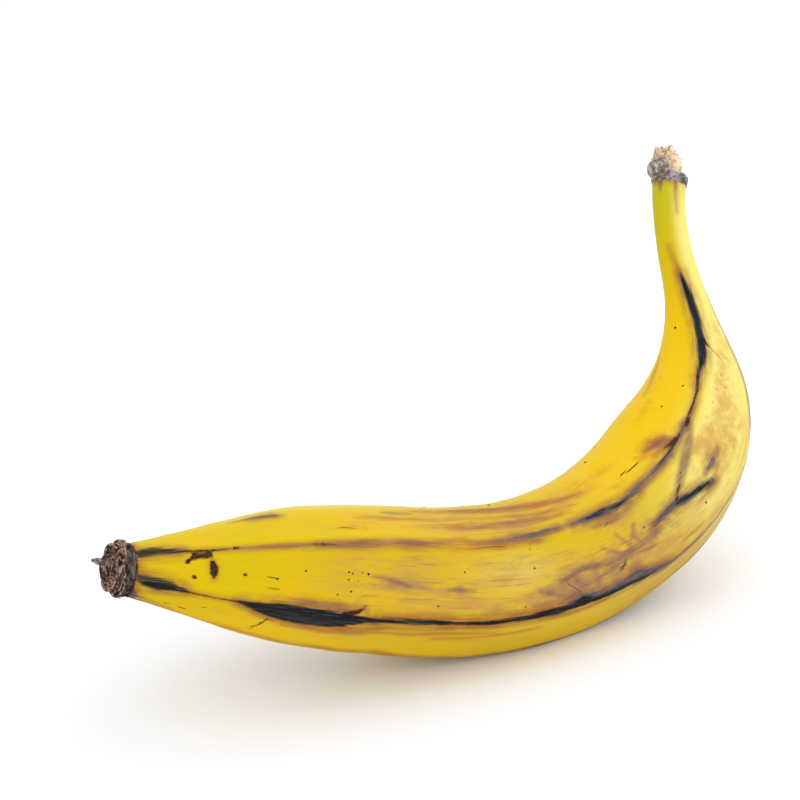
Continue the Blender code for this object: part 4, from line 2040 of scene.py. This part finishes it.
@dataclass
class TornStalk:
    """What is left of the stalk: a dark collar, a pale torn core and its fibres.

    Collar and core are mm above the end of the fruit, and share of the stem's
    radius.  The lobe's centre and size are in mm, in the stem's own frame.  The
    shade is a painted shadow of the lobe where the core darkens: a middle and a
    spread in mm, and its turn.
    """

    standing: Standing
    rings: int = 70
    sides: int = 96
    fibre_count: int = 170
    seed: int = 8
    core_lean: float = 0.22
    core_aside: float = 0.9
    core_ragged: float = 0.8
    collar_lean: float = 0.04
    collar_ragged: float = 0.25
    shade_place: tuple[float, float] = (4.6, 2.4)
    shade_turn: float = math.radians(20.0)
    shade: float = 0.62
    collar: Stations = ((-2.7, 0.99), (-2.0, 1.03), (-1.1, 1.05), (-0.2, 1.05), (0.5, 1.00), (0.8, 0.88))
    core: Stations = ((-0.4, 0.84), (2.0, 0.86), (4.5, 0.84), (6.5, 0.72), (8.0, 0.55), (8.8, 0.30))
    torn_waves: Path = ((1.0, 3, 1.0), (0.7, 7, 0.0), (0.5, 13, 2.0))
    lobe_centre: Triple = (5.5, 1.3, 1.2)
    lobe_size: Triple = (3.6, 3.8, 4.2)
    lobe_mesh: tuple[int, int] = (30, 44)
    collar_look: DryFinish = DryFinish(
        "dry_collar", (160, 150, 146), (116, 108, 110), (76, 70, 74), 900.0, relief=0.3, pitting=0.75
    )
    lobe_look: DryFinish = DryFinish(
        "dry_lobe", (184, 170, 152), (140, 130, 122), (98, 90, 86), 600.0, relief=0.35, pitting=0.45
    )
    # shaded here is the colour of the painted shadow of the lobe on the core
    core_look: DryFinish = DryFinish(
        "torn_core", (240, 218, 188), (218, 186, 148), (158, 118, 86), 0.9, (1.0, 1.0, 0.45),
        relief=0.6, pitting=0.65, carried=True, shaded=(150, 108, 74),
    )
    fibre_look: DryFinish = DryFinish(
        "torn_fibre", (246, 228, 200), (226, 198, 160), (168, 130, 96), 1500.0, relief=0.2
    )

    def build(self) -> list[bpy.types.Object]:
        """Make the collar with its lobe, the core and the fibres.

        Returns:
            The pieces, from the collar up.
        """
        collar = self.turned("stem_collar", self.collar, self.collar_ragged, self.collar_lean, 0.0)
        relief_tree("collar_relief", STUB_RELIEF).apply(collar, self.collar_look.make())
        over = self.core_aside * MM
        core = self.turned("torn_core", self.core, self.core_ragged, self.core_lean, over)
        relief_tree("core_relief", CORE_RELIEF).apply(core, self.core_look.make())
        lobe = relief_tree("lobe_relief", STUB_RELIEF).apply(self.lobe(), self.lobe_look.make())
        return [collar, core, lobe, self.fibres()]

    def turned(
        self, name: str, outline: Stations, ragged: float, lean: float, over: float
    ) -> bpy.types.Object:
        """A turned piece about the stem with a ragged end.

        Args:
            name: The piece's name.
            outline: Height in mm above the collar, and share of the stem's radius.
            ragged: How uneven the far end is, in mm.
            lean: How far it leans to the hollow side as it rises.
            over: How far its foot stands to the hollow side.

        Returns:
            The piece, before its relief.
        """
        form = self.standing.form
        place = np.linspace(0.0, 1.0, self.rings)
        height, share = read_outline(outline, self.rings)
        turn = full_turn(self.sides)
        wave = waves(turn, self.torn_waves)
        rise = (height[:, None] + ragged * wave[None, :] * (place[:, None] ** 2)) * MM
        radius = form.stem_radius * share[:, None] * np.ones_like(turn)[None, :]
        hollow = radius * np.cos(turn) + lean * rise + over
        grid = np.stack((hollow, radius * np.sin(turn), rise), axis=-1).reshape(-1, 3)
        points = self.standing.on_axis(form.length, grid)
        made = mesh_object(name, points, ring_faces(self.rings, self.sides))
        carry(made, "straight", grid / MM)
        # painted shadow of the lobe, on the side of the core that faces it
        to_lobe = np.clip(np.cos(turn - self.shade_turn), 0.0, 1.0)
        near = hump(height[:, None], *self.shade_place) * to_lobe[None, :]
        carry(made, "hollow", (self.shade * near).ravel())
        return made

    def lobe(self) -> bpy.types.Object:
        """The grey swelling on the hollow side of the stub.

        Returns:
            The lobe, before its relief.
        """
        rings, sides = self.lobe_mesh
        polar = np.linspace(0.05, math.pi - 0.05, rings)[:, None]
        turn = full_turn(sides)[None, :]
        level = -np.cos(polar) * np.ones_like(turn)
        ball = np.stack((np.sin(polar) * np.cos(turn), np.sin(polar) * np.sin(turn), level), axis=-1)
        grid = (np.array(self.lobe_centre) + ball.reshape(-1, 3) * np.array(self.lobe_size)) * MM
        points = self.standing.on_axis(self.standing.form.length, grid)
        made = mesh_object("stub_lobe", points, ring_faces(rings, sides))
        carry(made, "straight", grid / MM)
        return made

    def fibres(self) -> bpy.types.Object:
        """Torn fibres that stand out of the core.

        Returns:
            The fibres as one piece.
        """
        draw = np.random.default_rng(self.seed)
        matrix = self.standing.axes_at(self.standing.form.length)
        roots = Roots()
        for _ in range(self.fibre_count):
            angle = draw.uniform(0.0, FULL_TURN)
            height = draw.uniform(2.5, 8.2)
            taper = 0.84 if height < 5.0 else 0.84 - 0.09 * (height - 5.0)
            reach = self.standing.form.stem_radius * taper * draw.uniform(0.80, 0.98)
            rise = height * MM
            over = self.core_lean * rise + self.core_aside * MM
            local = Vector((reach * math.cos(angle) + over, reach * math.sin(angle), rise))
            way = Vector((0.25 * math.cos(angle) + 0.2, 0.25 * math.sin(angle), 1.0))
            roots.add(matrix @ local, matrix.to_3x3() @ way)
        made = roots.plant("stub_fibres")
        return strand_tree("stub_strands", STUB_STRANDS).apply(made, self.fibre_look.make())


@dataclass(frozen=True)
class Softbox:
    """One large soft light: where it is, how large and how bright it is."""

    name: str
    place: Triple
    size: tuple[float, float]
    power: float

    def hang(self, target: Vector) -> None:
        """Put the light in the scene.

        Args:
            target: What it faces.
        """
        light = bpy.data.lights.new(self.name, "AREA")
        light.shape = "RECTANGLE"
        light.size, light.size_y = self.size
        light.energy = self.power
        made = bpy.data.objects.new(self.name, light)
        bpy.context.scene.collection.objects.link(made)
        made.location = self.place
        made.rotation_euler = (target - Vector(self.place)).to_track_quat("-Z", "Y").to_euler()


@dataclass
class Studio:
    """A pale floor, soft lights and the camera."""

    azimuth: float = math.radians(-33.4)
    elevation: float = math.radians(23.1)
    distance: float = 0.7058
    lens: float = 106.5
    sensor: float = 36.0
    target: Triple = (-0.0155, 0.0065, 0.075)
    lit: Triple = (0.0, 0.0, 0.05)
    floor_half: float = 8.0
    floor_level: float = -0.00005
    floor_colours: tuple[Colour, Colour] = ((233, 233, 235), (236, 236, 237))
    sky: float = 1.14
    sky_colour: Colour = (250, 252, 255)
    lights: tuple[Softbox, ...] = (
        Softbox("top_softbox", (-0.22, -0.62, 1.15), (1.5, 1.3), 4.5),
        Softbox("right_softbox", (1.05, -0.05, 0.55), (0.8, 0.8), 4.0),
    )

    def build(self) -> None:
        """Make the floor, the sky, the lights and the camera."""
        self.floor()
        world = bpy.data.worlds.new("studio")
        bpy.context.scene.world = world
        world.use_nodes = True
        backdrop = world.node_tree.nodes["Background"]
        backdrop.inputs["Color"].default_value = linear(self.sky_colour)
        backdrop.inputs["Strength"].default_value = self.sky
        for light in self.lights:
            light.hang(Vector(self.lit))
        self.camera()
        bpy.context.scene.view_settings.view_transform = "Standard"

    def floor(self) -> None:
        """A wide white floor just under the fruit."""
        turns = ((-1, -1), (1, -1), (1, 1), (-1, 1))
        corners = [(x * self.floor_half, y * self.floor_half, self.floor_level) for x, y in turns]
        made = mesh_object("floor", corners, [(0, 1, 2, 3)])
        surface = Surface("floor_white", 0.9, 0.1)
        graph = surface.graph
        cloud = graph.noise(graph.add("ShaderNodeTexCoord").outputs["Object"], 3.0, 2.0)
        surface.feed("Base Color", graph.blend(cloud, *map(linear, self.floor_colours)))
        made.data.materials.append(surface.material)

    def camera(self) -> None:
        """The camera, level and with everything in focus."""
        data = bpy.data.cameras.new("camera")
        data.lens = self.lens
        data.sensor_width = self.sensor
        made = bpy.data.objects.new("camera", data)
        bpy.context.scene.collection.objects.link(made)
        level = math.cos(self.elevation)
        x, y = math.sin(self.azimuth) * level, -math.cos(self.azimuth) * level
        back = Vector((x, y, math.sin(self.elevation)))
        made.location = Vector(self.target) + back * self.distance
        made.rotation_euler = (-back).to_track_quat("-Z", "Y").to_euler()
        bpy.context.scene.camera = made


def keep(piece: bpy.types.Object) -> None:
    """Let a finished piece ride on the fruit and report it.

    Args:
        piece: The piece.
    """
    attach(piece, BODY)
    LOG.info("%s: %d faces", piece.name, len(piece.data.polygons))


def main() -> None:
    """Build the studio, then the fruit piece by piece."""
    logging.basicConfig(level=logging.INFO, format="%(name)s: %(message)s")
    Studio().build()
    standing = Standing(FruitForm())
    peel = Peel(standing).build()
    keep(peel)
    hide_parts(NODE)
    marks = Marks(standing, peel)
    pieces = [marks.scabs(), marks.cracks()]
    pieces += BlossomScar(standing).build()
    pieces += TornStalk(standing).build()
    for piece in pieces:
        keep(piece)


if __name__ == "__main__":
    main()
